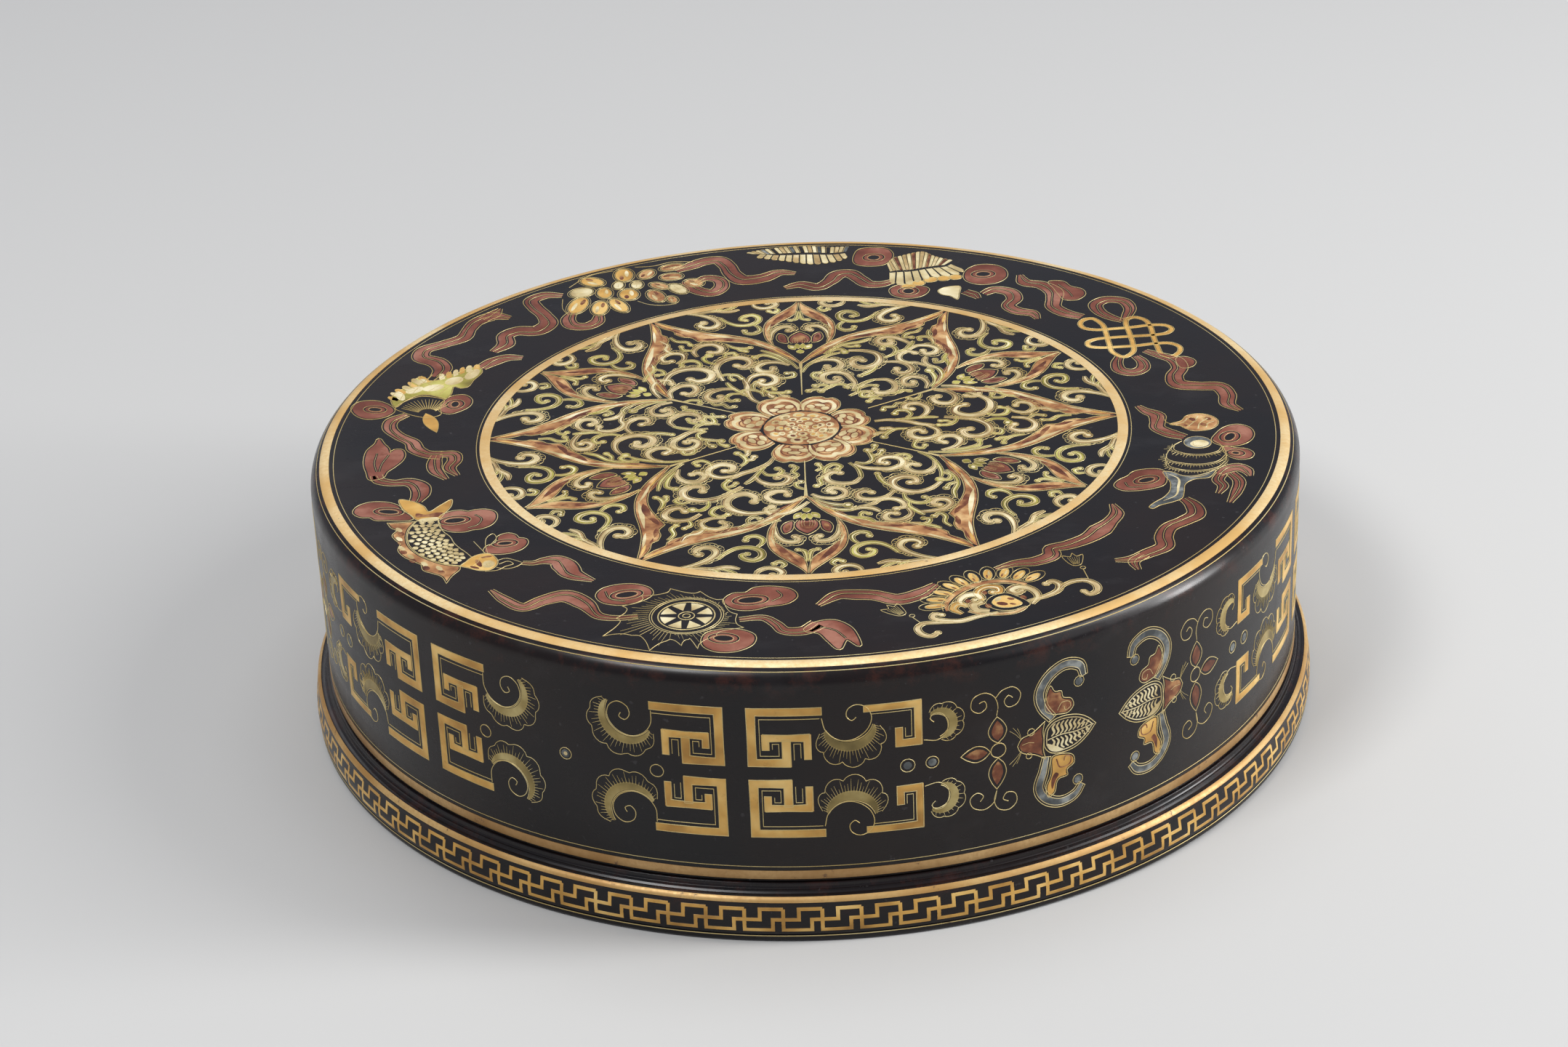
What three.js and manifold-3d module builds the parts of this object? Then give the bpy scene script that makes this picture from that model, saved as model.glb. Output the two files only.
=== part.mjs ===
// Round lacquered storage box: a tall lid that slides over a collar standing on a moulded plinth.
// Millimetres, +Z up. The origin is the centre of the foot's underside.
// The core is softwood: glued boards for the flat panels, bent strips with scarf joints for the walls.
// Lacquer coats cover the core outside and line it inside, and gold bands are let into the coats.
import * as THREE from 'three';
import { mergeVertices } from 'three/addons/utils/BufferGeometryUtils.js';
import Module from 'manifold-3d';

const wasm = await Module();
wasm.setup();

// Driving dimensions
const overallHeight = 86;
const plinthRadius = 160; // the widest point, on the fascia
const wallRadius = 154.7; // outside of the lid
const shoulderRadius = 6; // rounding between the lid's wall and its top
const ledgeHeight = 17; // top of the plinth, on which the lid's rim rests
const collarHeight = 68; // top of the collar that the lid slides over
const sides = 64; // facets round each turned or bent piece

// Thicknesses and clearances
const gap = 0.3; // joint between neighbouring pieces
const lidClearance = 0.6; // between the lid's lining and the collar
const outerCoat = 1.5;
const thinCoat = 0.8; // linings, and the coat on the collar
const strip = 1.6; // one bent strip of the wall
const panel = 5.9; // glued boards
const rimLip = 1; // coat turned under the lid's rim
const bandDepth = 0.5; // gold bands
const grooveDepth = bandDepth + gap;
const cove = 2; // inner corners of both linings

// Gold bands
const roundelBand = { inner: 98.4, outer: 101.6 };
const topBand = { inner: 148.5, outer: 151.5 };
const rimBandTop = 20.9;
const beadBand = { from: 20, to: 60 }; // degrees up the bead

// Plinth and foot
const footHeight = 2.4;
const footRounding = 1.2;
const footInner = 142;
const fascia = { low: 159.7, bulgeHeight: 6, top: 159.2 };
const bead = { radius: 2.6, height: 12 }; // height of the bead's centre
const cavetto = { radius: 155.2, rise: 0.6 };
const plinthCoat = 1.3;
const floorTop = 12.3; // inside floor

// Boards and scarf joints
const boardCount = 4;
const scarf = { tilt: 8, length: 30 }; // degrees and length of the cut
const turnOf = { lidOuter: 25, lidInner: 205, shoulder: 300, baseOuter: 70, baseInner: 250 };

// Radii of the wall, from the outside in
const lidCoatInner = wallRadius - outerCoat;
const lidStripOuter = lidCoatInner - gap;
const lidStripInner = lidStripOuter - strip - gap;
const lidLiningOuter = lidStripInner - strip - gap;
const lidBore = lidLiningOuter - thinCoat;
const collarRadius = lidBore - lidClearance;
const baseStripOuter = collarRadius - thinCoat - gap;
const baseStripInner = baseStripOuter - strip - gap;
const baseLiningOuter = baseStripInner - strip - gap;
const baseBore = baseLiningOuter - thinCoat;

// Heights in the lid, from the top down
const shoulderCentre = { r: wallRadius - shoulderRadius, z: overallHeight - shoulderRadius };
const panelTop = overallHeight - outerCoat - gap;
const panelUnder = panelTop - panel;
const lidStripTop = panelUnder - gap;
const rimHeight = ledgeHeight + gap;
const lidStripFoot = rimHeight + rimLip + gap;

// Heights in the base, from the floor up
const coreFoot = footHeight + gap;
const liningUnder = floorTop - thinCoat;
const boardTop = liningUnder - gap;
const boardUnder = boardTop - panel;
const collarCoatTop = collarHeight - thinCoat - gap;
const beadCentre = { r: fascia.top - bead.radius, z: bead.height };

const radians = THREE.MathUtils.degToRad;
const point = (r, z) => new THREE.Vector2(r, z);

// Points of an arc about a centre, in degrees from the outward radius towards +Z.
function arc(centre, radius, from, to, steps) {
  return Array.from({ length: steps + 1 }, (_, i) => {
    const angle = radians(from + ((to - from) * i) / steps);
    return point(centre.r + radius * Math.cos(angle), centre.z + radius * Math.sin(angle));
  });
}

// Angle at which an arc of this radius about the centre reaches a plan radius.
function angleAt(centre, radius, planRadius) {
  return THREE.MathUtils.radToDeg(Math.acos((planRadius - centre.r) / radius));
}

// Turns a profile, drawn anticlockwise in the (r, z) half plane, about +Z.
function turned(profile, closed) {
  const outline = closed ? [...profile, profile[0]] : profile;
  const geometry = new THREE.LatheGeometry(outline, sides);
  geometry.rotateX(Math.PI / 2);
  return welded(geometry);
}

const ring = (profile) => turned(profile, true);
const disc = (profile) => turned(profile, false);

// Shared vertices only, with no collapsed triangles.
function welded(geometry) {
  geometry.deleteAttribute('normal');
  geometry.deleteAttribute('uv');
  const merged = mergeVertices(geometry, 1e-4);
  const kept = [];
  const index = merged.index.array;
  for (let i = 0; i < index.length; i += 3) {
    const [a, b, c] = index.slice(i, i + 3);
    if (a !== b && b !== c && c !== a) kept.push(a, b, c);
  }
  merged.setIndex(kept);
  return merged;
}

function toSolid(geometry) {
  const vertProperties = new Float32Array(geometry.attributes.position.array);
  const triVerts = new Uint32Array(geometry.index.array);
  return new wasm.Manifold(new wasm.Mesh({ numProp: 3, vertProperties, triVerts }));
}

function toGeometry(solid) {
  const mesh = solid.getMesh();
  const geometry = new THREE.BufferGeometry();
  geometry.setAttribute('position', new THREE.BufferAttribute(mesh.vertProperties, 3));
  geometry.setIndex(new THREE.BufferAttribute(mesh.triVerts, 1));
  return geometry;
}

// A ring of rectangular section, from one radius and height to another.
const hoop = (inner, outer, low, high) =>
  ring([point(inner, low), point(outer, low), point(outer, high), point(inner, high)]);

// Opens a bent strip at one place with a slanting scarf joint.
function scarfed(geometry, middleRadius, turn) {
  const cut = new THREE.BoxGeometry(gap, scarf.length, 3 * overallHeight);
  cut.rotateZ(radians(scarf.tilt));
  cut.translate(middleRadius, 0, 0);
  cut.rotateZ(radians(turn));
  return toGeometry(toSolid(geometry).subtract(toSolid(welded(cut))));
}

// Saws a round panel into parallel boards of equal width.
function sawn(geometry, radius, along) {
  const whole = toSolid(geometry);
  const pitch = (2 * radius) / boardCount;
  return Array.from({ length: boardCount }, (_, i) => {
    const board = new THREE.BoxGeometry(4 * radius, pitch - gap, 3 * overallHeight);
    board.translate(0, -radius + pitch * (i + 0.5), 0);
    board.rotateZ(radians(along));
    return toGeometry(whole.intersect(toSolid(welded(board))));
  });
}

// Finishes
const finish = (color, roughness) =>
  new THREE.MeshStandardMaterial({ color, roughness, metalness: 0 });
const blackLacquer = () => finish(0x1c1613, 0.3);
const liningLacquer = () => finish(0x241814, 0.38);
const goldLacquer = () => finish(0xc9a05a, 0.42);
const softwood = () => finish(0xb98f5e, 0.75);

const group = new THREE.Group();
const lid = new THREE.Group();
const base = new THREE.Group();
group.add(base, lid);

function add(parent, name, geometry, material) {
  const mesh = new THREE.Mesh(geometry, material);
  mesh.name = name;
  parent.add(mesh);
}

// Lid: the outer coat, over the top, round the shoulder, down the wall and under the rim.
function lidCoat() {
  const grooveTop = overallHeight - grooveDepth;
  const grooveShoulder = shoulderRadius - grooveDepth;
  const bandEdge = angleAt(shoulderCentre, shoulderRadius, topBand.outer + gap);
  const innerRounding = shoulderRadius - outerCoat;
  return disc([
    point(0, overallHeight - outerCoat),
    ...arc(shoulderCentre, innerRounding, 90, 0, 3),
    point(lidCoatInner, rimHeight + rimLip),
    point(lidBore, rimHeight + rimLip),
    point(lidBore, rimHeight),
    point(wallRadius - grooveDepth, rimHeight),
    point(wallRadius - grooveDepth, rimBandTop + gap),
    point(wallRadius, rimBandTop + gap),
    ...arc(shoulderCentre, shoulderRadius, 0, bandEdge, 3),
    ...arc(shoulderCentre, grooveShoulder, bandEdge, 90, 2),
    point(topBand.inner - gap, grooveTop),
    point(topBand.inner - gap, overallHeight),
    point(roundelBand.outer + gap, overallHeight),
    point(roundelBand.outer + gap, grooveTop),
    point(roundelBand.inner - gap, grooveTop),
    point(roundelBand.inner - gap, overallHeight),
    point(0, overallHeight),
  ]);
}

// Lid: the band at the edge of the top, whose outer half follows the shoulder.
function topGoldBand() {
  const edge = angleAt(shoulderCentre, shoulderRadius, topBand.outer);
  return ring([
    point(topBand.inner, overallHeight - bandDepth),
    ...arc(shoulderCentre, shoulderRadius - bandDepth, 90, edge, 2),
    ...arc(shoulderCentre, shoulderRadius, edge, 90, 2),
    point(topBand.inner, overallHeight),
  ]);
}

function lidLining() {
  const ceiling = lidStripTop - thinCoat;
  return disc([
    point(0, ceiling),
    ...arc({ r: lidBore - cove, z: ceiling - cove }, cove, 90, 0, 1),
    point(lidBore, lidStripFoot),
    point(lidLiningOuter, lidStripFoot),
    point(lidLiningOuter, lidStripTop),
    point(0, lidStripTop),
  ]);
}

// Lid: the round panel under the coat, and the bent strip that protects its end grain.
const coreRounding = shoulderRadius - outerCoat - gap;
const panelEdge = lidStripInner - strip / 2;

function lidPanel() {
  const edge = angleAt(shoulderCentre, coreRounding, panelEdge);
  return disc([
    point(0, panelUnder),
    point(panelEdge, panelUnder),
    ...arc(shoulderCentre, coreRounding, edge, 90, 1),
    point(0, panelTop),
  ]);
}

function shoulderStrip() {
  const inner = panelEdge + gap;
  const edge = angleAt(shoulderCentre, coreRounding, inner);
  const profile = [
    point(inner, panelUnder),
    point(lidStripOuter, panelUnder),
    ...arc(shoulderCentre, coreRounding, 0, edge, 2),
  ];
  return scarfed(ring(profile), (inner + lidStripOuter) / 2, turnOf.shoulder);
}

// One bent strip of a wall, given its outer radius.
const wallStrip = (outer, low, high, turn) =>
  scarfed(hoop(outer - strip, outer, low, high), outer - strip / 2, turn);

// Base: the coat over the fascia, bead, hollow and ledge, and up the outside of the collar.
function baseCoat() {
  const ledgeUnder = ledgeHeight - plinthCoat + cavetto.rise / 2;
  const collarInner = collarRadius - thinCoat;
  const grooved = bead.radius - grooveDepth;
  const margin = 7; // degrees of the bead beside the band
  return ring([
    point(fascia.low - plinthCoat, coreFoot),
    point(fascia.low, coreFoot),
    point(plinthRadius, fascia.bulgeHeight),
    ...arc(beadCentre, bead.radius, 0, beadBand.from - margin, 1),
    ...arc(beadCentre, grooved, beadBand.from - margin, beadBand.to + margin, 2),
    ...arc(beadCentre, bead.radius, beadBand.to + margin, 90, 1),
    ...arc({ r: beadCentre.r, z: ledgeHeight - cavetto.rise }, beadCentre.r - cavetto.radius, 240, 180, 1),
    point(cavetto.radius, ledgeHeight),
    point(collarRadius, ledgeHeight),
    point(collarRadius, collarCoatTop),
    point(collarInner, collarCoatTop),
    point(collarInner, ledgeUnder),
    point(beadCentre.r - plinthCoat - gap, ledgeUnder),
    point(beadCentre.r + grooved - plinthCoat, beadCentre.z - plinthCoat / 2),
  ]);
}

function beadGoldBand() {
  return ring([
    ...arc(beadCentre, bead.radius, beadBand.from, beadBand.to, 2),
    ...arc(beadCentre, bead.radius - bandDepth, beadBand.to, beadBand.from, 2),
  ]);
}

// Base: the turned moulding inside the plinth's coat.
function plinthRing() {
  const inner = baseStripOuter + gap;
  const edge = beadCentre.r + bead.radius - grooveDepth - plinthCoat - gap;
  return ring([
    point(inner, coreFoot),
    point(fascia.low - plinthCoat - gap, coreFoot),
    point(edge, beadCentre.z - plinthCoat / 2 - gap),
    point(beadCentre.r - plinthCoat - 2 * gap, ledgeHeight - plinthCoat),
    point(inner, ledgeHeight - plinthCoat),
  ]);
}

function footRing() {
  const rounding = { r: fascia.low - footRounding, z: footRounding };
  return ring([
    point(footInner, 0),
    ...arc(rounding, footRounding, -90, 0, 2),
    point(fascia.low, footHeight),
    point(footInner, footHeight),
  ]);
}

function baseLining() {
  const lip = thinCoat / 2; // rounding of the collar's top edge
  return disc([
    point(0, liningUnder),
    point(baseLiningOuter, liningUnder),
    point(baseLiningOuter, collarHeight - thinCoat),
    point(collarRadius, collarHeight - thinCoat),
    point(collarRadius, collarHeight - lip),
    point(collarRadius - lip, collarHeight),
    point(baseBore + lip, collarHeight),
    point(baseBore, collarHeight - lip),
    ...arc({ r: baseBore - cove, z: floorTop + cove }, cove, 0, -90, 1),
    point(0, floorTop),
  ]);
}

const floorPanel = () =>
  disc([
    point(0, boardUnder),
    point(baseLiningOuter, boardUnder),
    point(baseLiningOuter, boardTop),
    point(0, boardTop),
  ]);

const undersideCoat = () =>
  disc([
    point(0, boardUnder - gap - thinCoat),
    point(baseLiningOuter, boardUnder - gap - thinCoat),
    point(baseLiningOuter, boardUnder - gap),
    point(0, boardUnder - gap),
  ]);

// Assembly
add(lid, 'lid_coat', lidCoat(), blackLacquer());
add(lid, 'lid_top_gold_band', topGoldBand(), goldLacquer());
add(
  lid,
  'lid_roundel_gold_band',
  hoop(roundelBand.inner, roundelBand.outer, overallHeight - bandDepth, overallHeight),
  goldLacquer(),
);
add(
  lid,
  'lid_rim_gold_band',
  hoop(wallRadius - bandDepth, wallRadius, rimHeight, rimBandTop),
  goldLacquer(),
);
add(lid, 'lid_lining', lidLining(), liningLacquer());
add(lid, 'lid_shoulder_strip', shoulderStrip(), softwood());
add(
  lid,
  'lid_wall_strip_outer',
  wallStrip(lidStripOuter, lidStripFoot, lidStripTop, turnOf.lidOuter),
  softwood(),
);
add(
  lid,
  'lid_wall_strip_inner',
  wallStrip(lidStripInner, lidStripFoot, lidStripTop, turnOf.lidInner),
  softwood(),
);
sawn(lidPanel(), panelEdge, 0).forEach((board, i) =>
  add(lid, `lid_board_${i + 1}`, board, softwood()),
);

add(base, 'base_coat', baseCoat(), blackLacquer());
add(base, 'base_bead_gold_band', beadGoldBand(), goldLacquer());
add(base, 'base_lining', baseLining(), liningLacquer());
add(base, 'base_underside_coat', undersideCoat(), blackLacquer());
add(base, 'base_plinth_ring', plinthRing(), softwood());
add(base, 'base_foot_ring', footRing(), blackLacquer());
add(
  base,
  'base_collar_strip_outer',
  wallStrip(baseStripOuter, coreFoot, collarCoatTop, turnOf.baseOuter),
  softwood(),
);
add(
  base,
  'base_collar_strip_inner',
  wallStrip(baseStripInner, coreFoot, collarCoatTop, turnOf.baseInner),
  softwood(),
);
sawn(floorPanel(), baseLiningOuter, 90).forEach((board, i) =>
  add(base, `base_board_${i + 1}`, board, softwood()),
);

export default group;
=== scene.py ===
import math

import bmesh
import bpy
import numpy as np
from mathutils import Matrix, Vector
from mathutils.geometry import delaunay_2d_cdt


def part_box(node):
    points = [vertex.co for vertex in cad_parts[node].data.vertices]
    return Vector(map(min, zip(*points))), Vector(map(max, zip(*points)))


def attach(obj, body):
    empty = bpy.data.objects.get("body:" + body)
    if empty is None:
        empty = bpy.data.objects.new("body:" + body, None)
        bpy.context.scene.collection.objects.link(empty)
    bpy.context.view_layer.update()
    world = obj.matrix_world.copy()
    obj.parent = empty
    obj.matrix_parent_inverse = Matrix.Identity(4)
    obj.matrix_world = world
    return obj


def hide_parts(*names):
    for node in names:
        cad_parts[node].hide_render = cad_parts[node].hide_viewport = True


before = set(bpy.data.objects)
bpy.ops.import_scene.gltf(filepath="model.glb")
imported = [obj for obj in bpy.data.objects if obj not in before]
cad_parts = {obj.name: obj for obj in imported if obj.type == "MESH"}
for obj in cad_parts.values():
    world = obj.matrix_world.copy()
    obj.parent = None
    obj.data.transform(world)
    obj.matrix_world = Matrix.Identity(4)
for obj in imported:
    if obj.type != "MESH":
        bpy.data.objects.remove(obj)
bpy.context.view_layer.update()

mm = 0.001

# What the frame gives: every place below is worked out from these
lidLow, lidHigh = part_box("lid_coat")
rimBandLow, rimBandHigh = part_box("lid_rim_gold_band")
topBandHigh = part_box("lid_top_gold_band")[1]
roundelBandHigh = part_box("lid_roundel_gold_band")[1]
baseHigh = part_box("base_coat")[1]
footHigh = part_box("base_foot_ring")[1]
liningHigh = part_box("base_lining")[1]
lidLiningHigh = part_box("lid_lining")[1]
undersideLow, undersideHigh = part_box("base_underside_coat")

# The radii and heights among them, in mm
wallRadius, lidFoot, lidTop = lidHigh.x / mm, lidLow.z / mm, lidHigh.z / mm
rimLow, rimHigh = rimBandLow.z / mm, rimBandHigh.z / mm
topBandRadius = topBandHigh.x / mm
roundelBandRadius = roundelBandHigh.x / mm
lidLiningRadius, lidLiningTop = lidLiningHigh.x / mm, lidLiningHigh.z / mm
plinthRadius, collarTop = baseHigh.x / mm, baseHigh.z / mm
footTop = footHigh.z / mm
liningTop = liningHigh.z / mm


# Camera

cameraPlan = {
    "lens": 80.35,
    "sensor": 36.0,
    "back": 991.2,  # mm in front of the axis
    "above": 476.1,  # mm over the top of the lid
    "pitch": 27.225,
    "yaw": -0.4227,
    "roll": -2.453,
}


def makeCamera(plan):
    data = bpy.data.cameras.new("photoCamera")
    data.lens = plan["lens"]
    data.sensor_width = plan["sensor"]
    data.clip_end = 50
    camera = bpy.data.objects.new("photoCamera", data)
    pitch, yaw, roll = (math.radians(plan[k]) for k in ("pitch", "yaw", "roll"))
    forward = Vector((math.sin(yaw) * math.cos(pitch), math.cos(yaw) * math.cos(pitch), -math.sin(pitch)))
    right = Vector((math.cos(yaw), -math.sin(yaw), 0))
    up = right.cross(forward)
    rolledRight = right * math.cos(roll) + up * math.sin(roll)
    rolledUp = up * math.cos(roll) - right * math.sin(roll)
    turn = Matrix((rolledRight, rolledUp, -forward)).transposed().to_4x4()
    place = Vector((0, -plan["back"] * mm, (lidTop + plan["above"]) * mm))
    camera.matrix_world = Matrix.Translation(place) @ turn
    bpy.context.scene.collection.objects.link(camera)
    bpy.context.scene.camera = camera


makeCamera(cameraPlan)
print("camera set")


# Node helpers

def give(tree, value, socket):
    # A link, a colour without its alpha, or a plain value
    if isinstance(value, bpy.types.NodeSocket):
        tree.links.new(value, socket)
    elif socket.type == "RGBA":
        socket.default_value = (*value, 1.0)
    else:
        socket.default_value = value


def addNode(tree, kind, links=None, **settings):
    node = tree.nodes.new(kind)
    for key, value in settings.items():
        setattr(node, key, value)
    for key, value in (links or {}).items():
        give(tree, value, node.inputs[key])
    return node


socketKinds = {
    "geometry": "NodeSocketGeometry",
    "number": "NodeSocketFloat",
    "count": "NodeSocketInt",
    "colour": "NodeSocketColor",
    "material": "NodeSocketMaterial",
}


def addSockets(tree, takes, gives):
    for way, sockets in (("INPUT", takes), ("OUTPUT", gives)):
        for name, kind in sockets:
            tree.interface.new_socket(name, in_out=way, socket_type=socketKinds[kind])
    return tree.nodes.new("NodeGroupInput").outputs, tree.nodes.new("NodeGroupOutput").inputs


def maths(tree, operation, a, b=0.0):
    return addNode(tree, "ShaderNodeMath", {0: a, 1: b}, operation=operation).outputs[0]


def plus(tree, a, b):
    return maths(tree, "ADD", a, b)


def times(tree, a, b):
    return maths(tree, "MULTIPLY", a, b)


def colourMix(tree, factor, a, b, blend="MIX"):
    links = {0: factor, 6: a, 7: b}
    return addNode(tree, "ShaderNodeMix", links, data_type="RGBA", blend_type=blend).outputs[2]


def stretch(tree, source, low, high, toLow=0.0, toHigh=1.0):
    return addNode(tree, "ShaderNodeMapRange", {0: source, 1: low, 2: high, 3: toLow, 4: toHigh}).outputs[0]


def noise(tree, place, scale, detail=4.0, rough=0.5):
    links = {"Vector": place, "Scale": scale, "Detail": detail, "Roughness": rough}
    return addNode(tree, "ShaderNodeTexNoise", links).outputs[0]


def stretched(tree, place, scale):
    return addNode(tree, "ShaderNodeMapping", {"Vector": place, "Scale": scale}).outputs[0]


def newGroup(name, takes, gives):
    tree = bpy.data.node_groups.new(name, "ShaderNodeTree")
    inputs, outputs = addSockets(tree, takes, gives)
    return tree, inputs, outputs, tree.nodes.new("ShaderNodeTexCoord").outputs["Object"]


# Shader groups: each puts out only colours, masks and heights, and sits in several materials

def makeLacquerSkin():
    # Black lacquer with brushed streaks, dust specks and a painted pale sheen in broad smears, rubbed brown
    # near an edge at a radius and a height
    tree, takes, gives, place = newGroup(
        "lacquerSkin",
        [("Colour", "colour"), ("Warm", "colour"), ("Specks and Sheen Colour", "colour"), ("Specks and Sheen", "number"),
         ("Rub Colour", "colour"), ("Rub", "number"), ("Rub Radius", "number"), ("Rub Height", "number"),
         ("Streaks", "number"), ("Roughness", "number")],
        [("Colour", "colour"), ("Roughness", "number"), ("Height", "number")],
    )
    split = addNode(tree, "ShaderNodeSeparateXYZ", {"Vector": place}).outputs
    flat = addNode(tree, "ShaderNodeCombineXYZ", {"X": split["X"], "Y": split["Y"]}).outputs[0]
    radius = addNode(tree, "ShaderNodeVectorMath", {0: flat}, operation="LENGTH").outputs["Value"]
    aside = maths(tree, "SUBTRACT", radius, takes["Rub Radius"])
    above = maths(tree, "SUBTRACT", split["Z"], takes["Rub Height"])
    apart = maths(tree, "SQRT", plus(tree, times(tree, aside, aside), times(tree, above, above)))
    nearEdge = stretch(tree, apart, 0.0075, 0.0015)  # metres from the edge
    chafed = stretch(tree, noise(tree, place, 95, 6, 0.75), 0.5, 0.66)
    rubbed = times(tree, times(tree, nearEdge, chafed), takes["Rub"])
    clouds = stretch(tree, noise(tree, place, 16, 5, 0.6), 0.38, 0.66)
    brush = noise(tree, stretched(tree, place, (14, 14, 210)), 1, 4, 0.6)  # strokes round the wall
    wipe = noise(tree, stretched(tree, place, (22, 150, 22)), 1, 5, 0.65)  # strokes across the top
    specks = stretch(tree, noise(tree, place, 420, 2, 0.5), 0.7, 0.76)
    sheenAndSmears = stretch(tree, noise(tree, stretched(tree, place, (30, 52, 40)), 1, 6, 0.7), 0.55, 0.78)
    warm = colourMix(tree, clouds, takes["Colour"], takes["Warm"])
    brushed = times(tree, stretch(tree, brush, 0.35, 0.7), takes["Streaks"])
    streak = plus(tree, brushed, times(tree, stretch(tree, wipe, 0.4, 0.72), takes["Streaks"]))
    # Dust specks, and broad smears that are partly dust and partly a painted pale sheen
    dustAndSheen = times(tree, maths(tree, "MAXIMUM", specks, times(tree, sheenAndSmears, 0.5)), takes["Specks and Sheen"])
    worn = colourMix(tree, rubbed, warm, takes["Rub Colour"])
    give(tree, colourMix(tree, dustAndSheen, worn, takes["Specks and Sheen Colour"]), gives["Colour"])
    rough = plus(tree, takes["Roughness"], times(tree, streak, 0.16))
    give(tree, plus(tree, rough, times(tree, dustAndSheen, 0.25)), gives["Roughness"])
    fine = noise(tree, place, 260, 4, 0.6)
    give(tree, plus(tree, times(tree, fine, 0.35), times(tree, streak, 0.4)), gives["Height"])
    return tree


def makeInlayTone():
    # Filled-in lacquer, clouded from deep through middle to pale and rubbed in spots
    tree, takes, gives, place = newGroup(
        "inlayTone",
        [("Deep", "colour"), ("Middle", "colour"), ("Pale", "colour"),
            ("Size", "number"), ("Wear", "number")],
        [("Colour", "colour"), ("Roughness", "number"), ("Height", "number")],
    )
    broad = noise(tree, place, takes["Size"], 3, 0.5)
    grain = noise(tree, place, 900, 3, 0.6)
    rubbed = stretch(tree, noise(tree, place, 330, 5, 0.7), 0.6, 0.72)
    toned = colourMix(tree, stretch(tree, broad, 0.32, 0.5), takes["Deep"], takes["Middle"])
    toned = colourMix(tree, stretch(tree, broad, 0.5, 0.68), toned, takes["Pale"])
    toned = colourMix(tree, times(tree, rubbed, takes["Wear"]), toned, takes["Deep"])
    toned = colourMix(tree, stretch(tree, grain, 0.3, 0.7, 0.0, 0.16), toned, takes["Pale"], "OVERLAY")
    give(tree, toned, gives["Colour"])
    rough = plus(tree, stretch(tree, broad, 0.3, 0.7, 0.4, 0.3), times(tree, rubbed, 0.2))
    give(tree, rough, gives["Roughness"])
    give(tree, plus(tree, grain, times(tree, rubbed, -0.6)), gives["Height"])
    return tree


def makeGoldTone():
    # Gold that is paler and darker in patches and lost in others, where its ground shows
    tree, takes, gives, place = newGroup(
        "goldTone",
        [("Pale", "colour"), ("Ochre", "colour"), ("Ground", "colour"),
            ("Size", "number"), ("Worn", "number")],
        [("Colour", "colour"), ("Roughness", "number"), ("Metallic", "number"), ("Height", "number")],
    )
    broad = noise(tree, place, takes["Size"], 4, 0.55)
    speckle = noise(tree, place, 700, 4, 0.7)
    gaps = noise(tree, place, 190, 6, 0.75)
    toned = colourMix(tree, stretch(tree, broad, 0.38, 0.62), takes["Pale"], takes["Ochre"])
    toned = colourMix(tree, stretch(tree, speckle, 0.42, 0.72, 0.0, 0.62), toned, takes["Ochre"])
    threshold = maths(tree, "SUBTRACT", 0.8, times(tree, takes["Worn"], 0.3))
    lost = times(tree, maths(tree, "SUBTRACT", gaps, threshold), 14.0)
    lost = addNode(tree, "ShaderNodeClamp", {0: lost}).outputs[0]
    give(tree, colourMix(tree, lost, toned, takes["Ground"]), gives["Colour"])
    give(tree, stretch(tree, speckle, 0.3, 0.7, 0.36, 0.52), gives["Roughness"])
    give(tree, times(tree, maths(tree, "SUBTRACT", 1.0, lost), 0.35), gives["Metallic"])
    give(tree, maths(tree, "SUBTRACT", speckle, lost), gives["Height"])
    return tree


lacquerSkin = makeLacquerSkin()
inlayTone = makeInlayTone()
goldTone = makeGoldTone()


def plainMaterial(name):
    material = bpy.data.materials.new(name)
    material.use_nodes = True
    return material, material.node_tree, material.node_tree.nodes["Principled BSDF"].inputs


def newMaterial(name, group, values, bump, depth, **fixed):
    material, tree, shader = plainMaterial(name)
    tone = tree.nodes.new("ShaderNodeGroup")
    tone.node_tree = group
    for key, value in values.items():
        give(tree, value, tone.inputs[key])
    give(tree, tone.outputs["Colour"], shader["Base Color"])
    give(tree, tone.outputs["Roughness"], shader["Roughness"])
    if "Metallic" in tone.outputs:
        give(tree, tone.outputs["Metallic"], shader["Metallic"])
    links = {"Strength": bump, "Distance": depth * mm, "Height": tone.outputs["Height"]}
    give(tree, addNode(tree, "ShaderNodeBump", links).outputs["Normal"], shader["Normal"])
    for key, value in fixed.items():
        shader[key.replace("_", " ")].default_value = value
    return material


lacquerPlan = {
    # Colour is tinted a little blue-violet: a painted bluish sheen on the black
    "Colour": (0.0052, 0.0044, 0.0052),
    "Warm": (0.0105, 0.006, 0.0052),
    # Pale blue-grey for the dust specks and for the painted sheen
    "Specks and Sheen Colour": (0.07, 0.066, 0.07),
    "Specks and Sheen": 0.3,
    "Rub Colour": (0.06, 0.017, 0.01),
    "Rub": 0.62,
    "Rub Radius": 0.1536,
    "Rub Height": 0.0835,
    "Streaks": 0.4,
    "Roughness": 0.23,
}
# Reddish brown near the bead's edge: partly rubbed wear, partly a painted maroon sheen
plinthRubAndSheen = {"Rub Colour": (0.034, 0.011, 0.008), "Rub": 0.9, "Rub Radius": 0.1575, "Rub Height": 0.015}
innerTone = {"Colour": (0.02, 0.012, 0.009), "Warm": (0.034, 0.017, 0.011), "Rub": 0.0, "Roughness": 0.36}
blackLacquer = newMaterial("blackLacquer", lacquerSkin, lacquerPlan, 0.1, 0.05, Specular_IOR_Level=0.3)
plinthLacquer = newMaterial("plinthLacquer", lacquerSkin, {**lacquerPlan, **plinthRubAndSheen}, 0.1, 0.05,
    Specular_IOR_Level=0.3)
innerLacquer = newMaterial("innerLacquer", lacquerSkin, {**lacquerPlan, **innerTone}, 0.16, 0.08)

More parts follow.
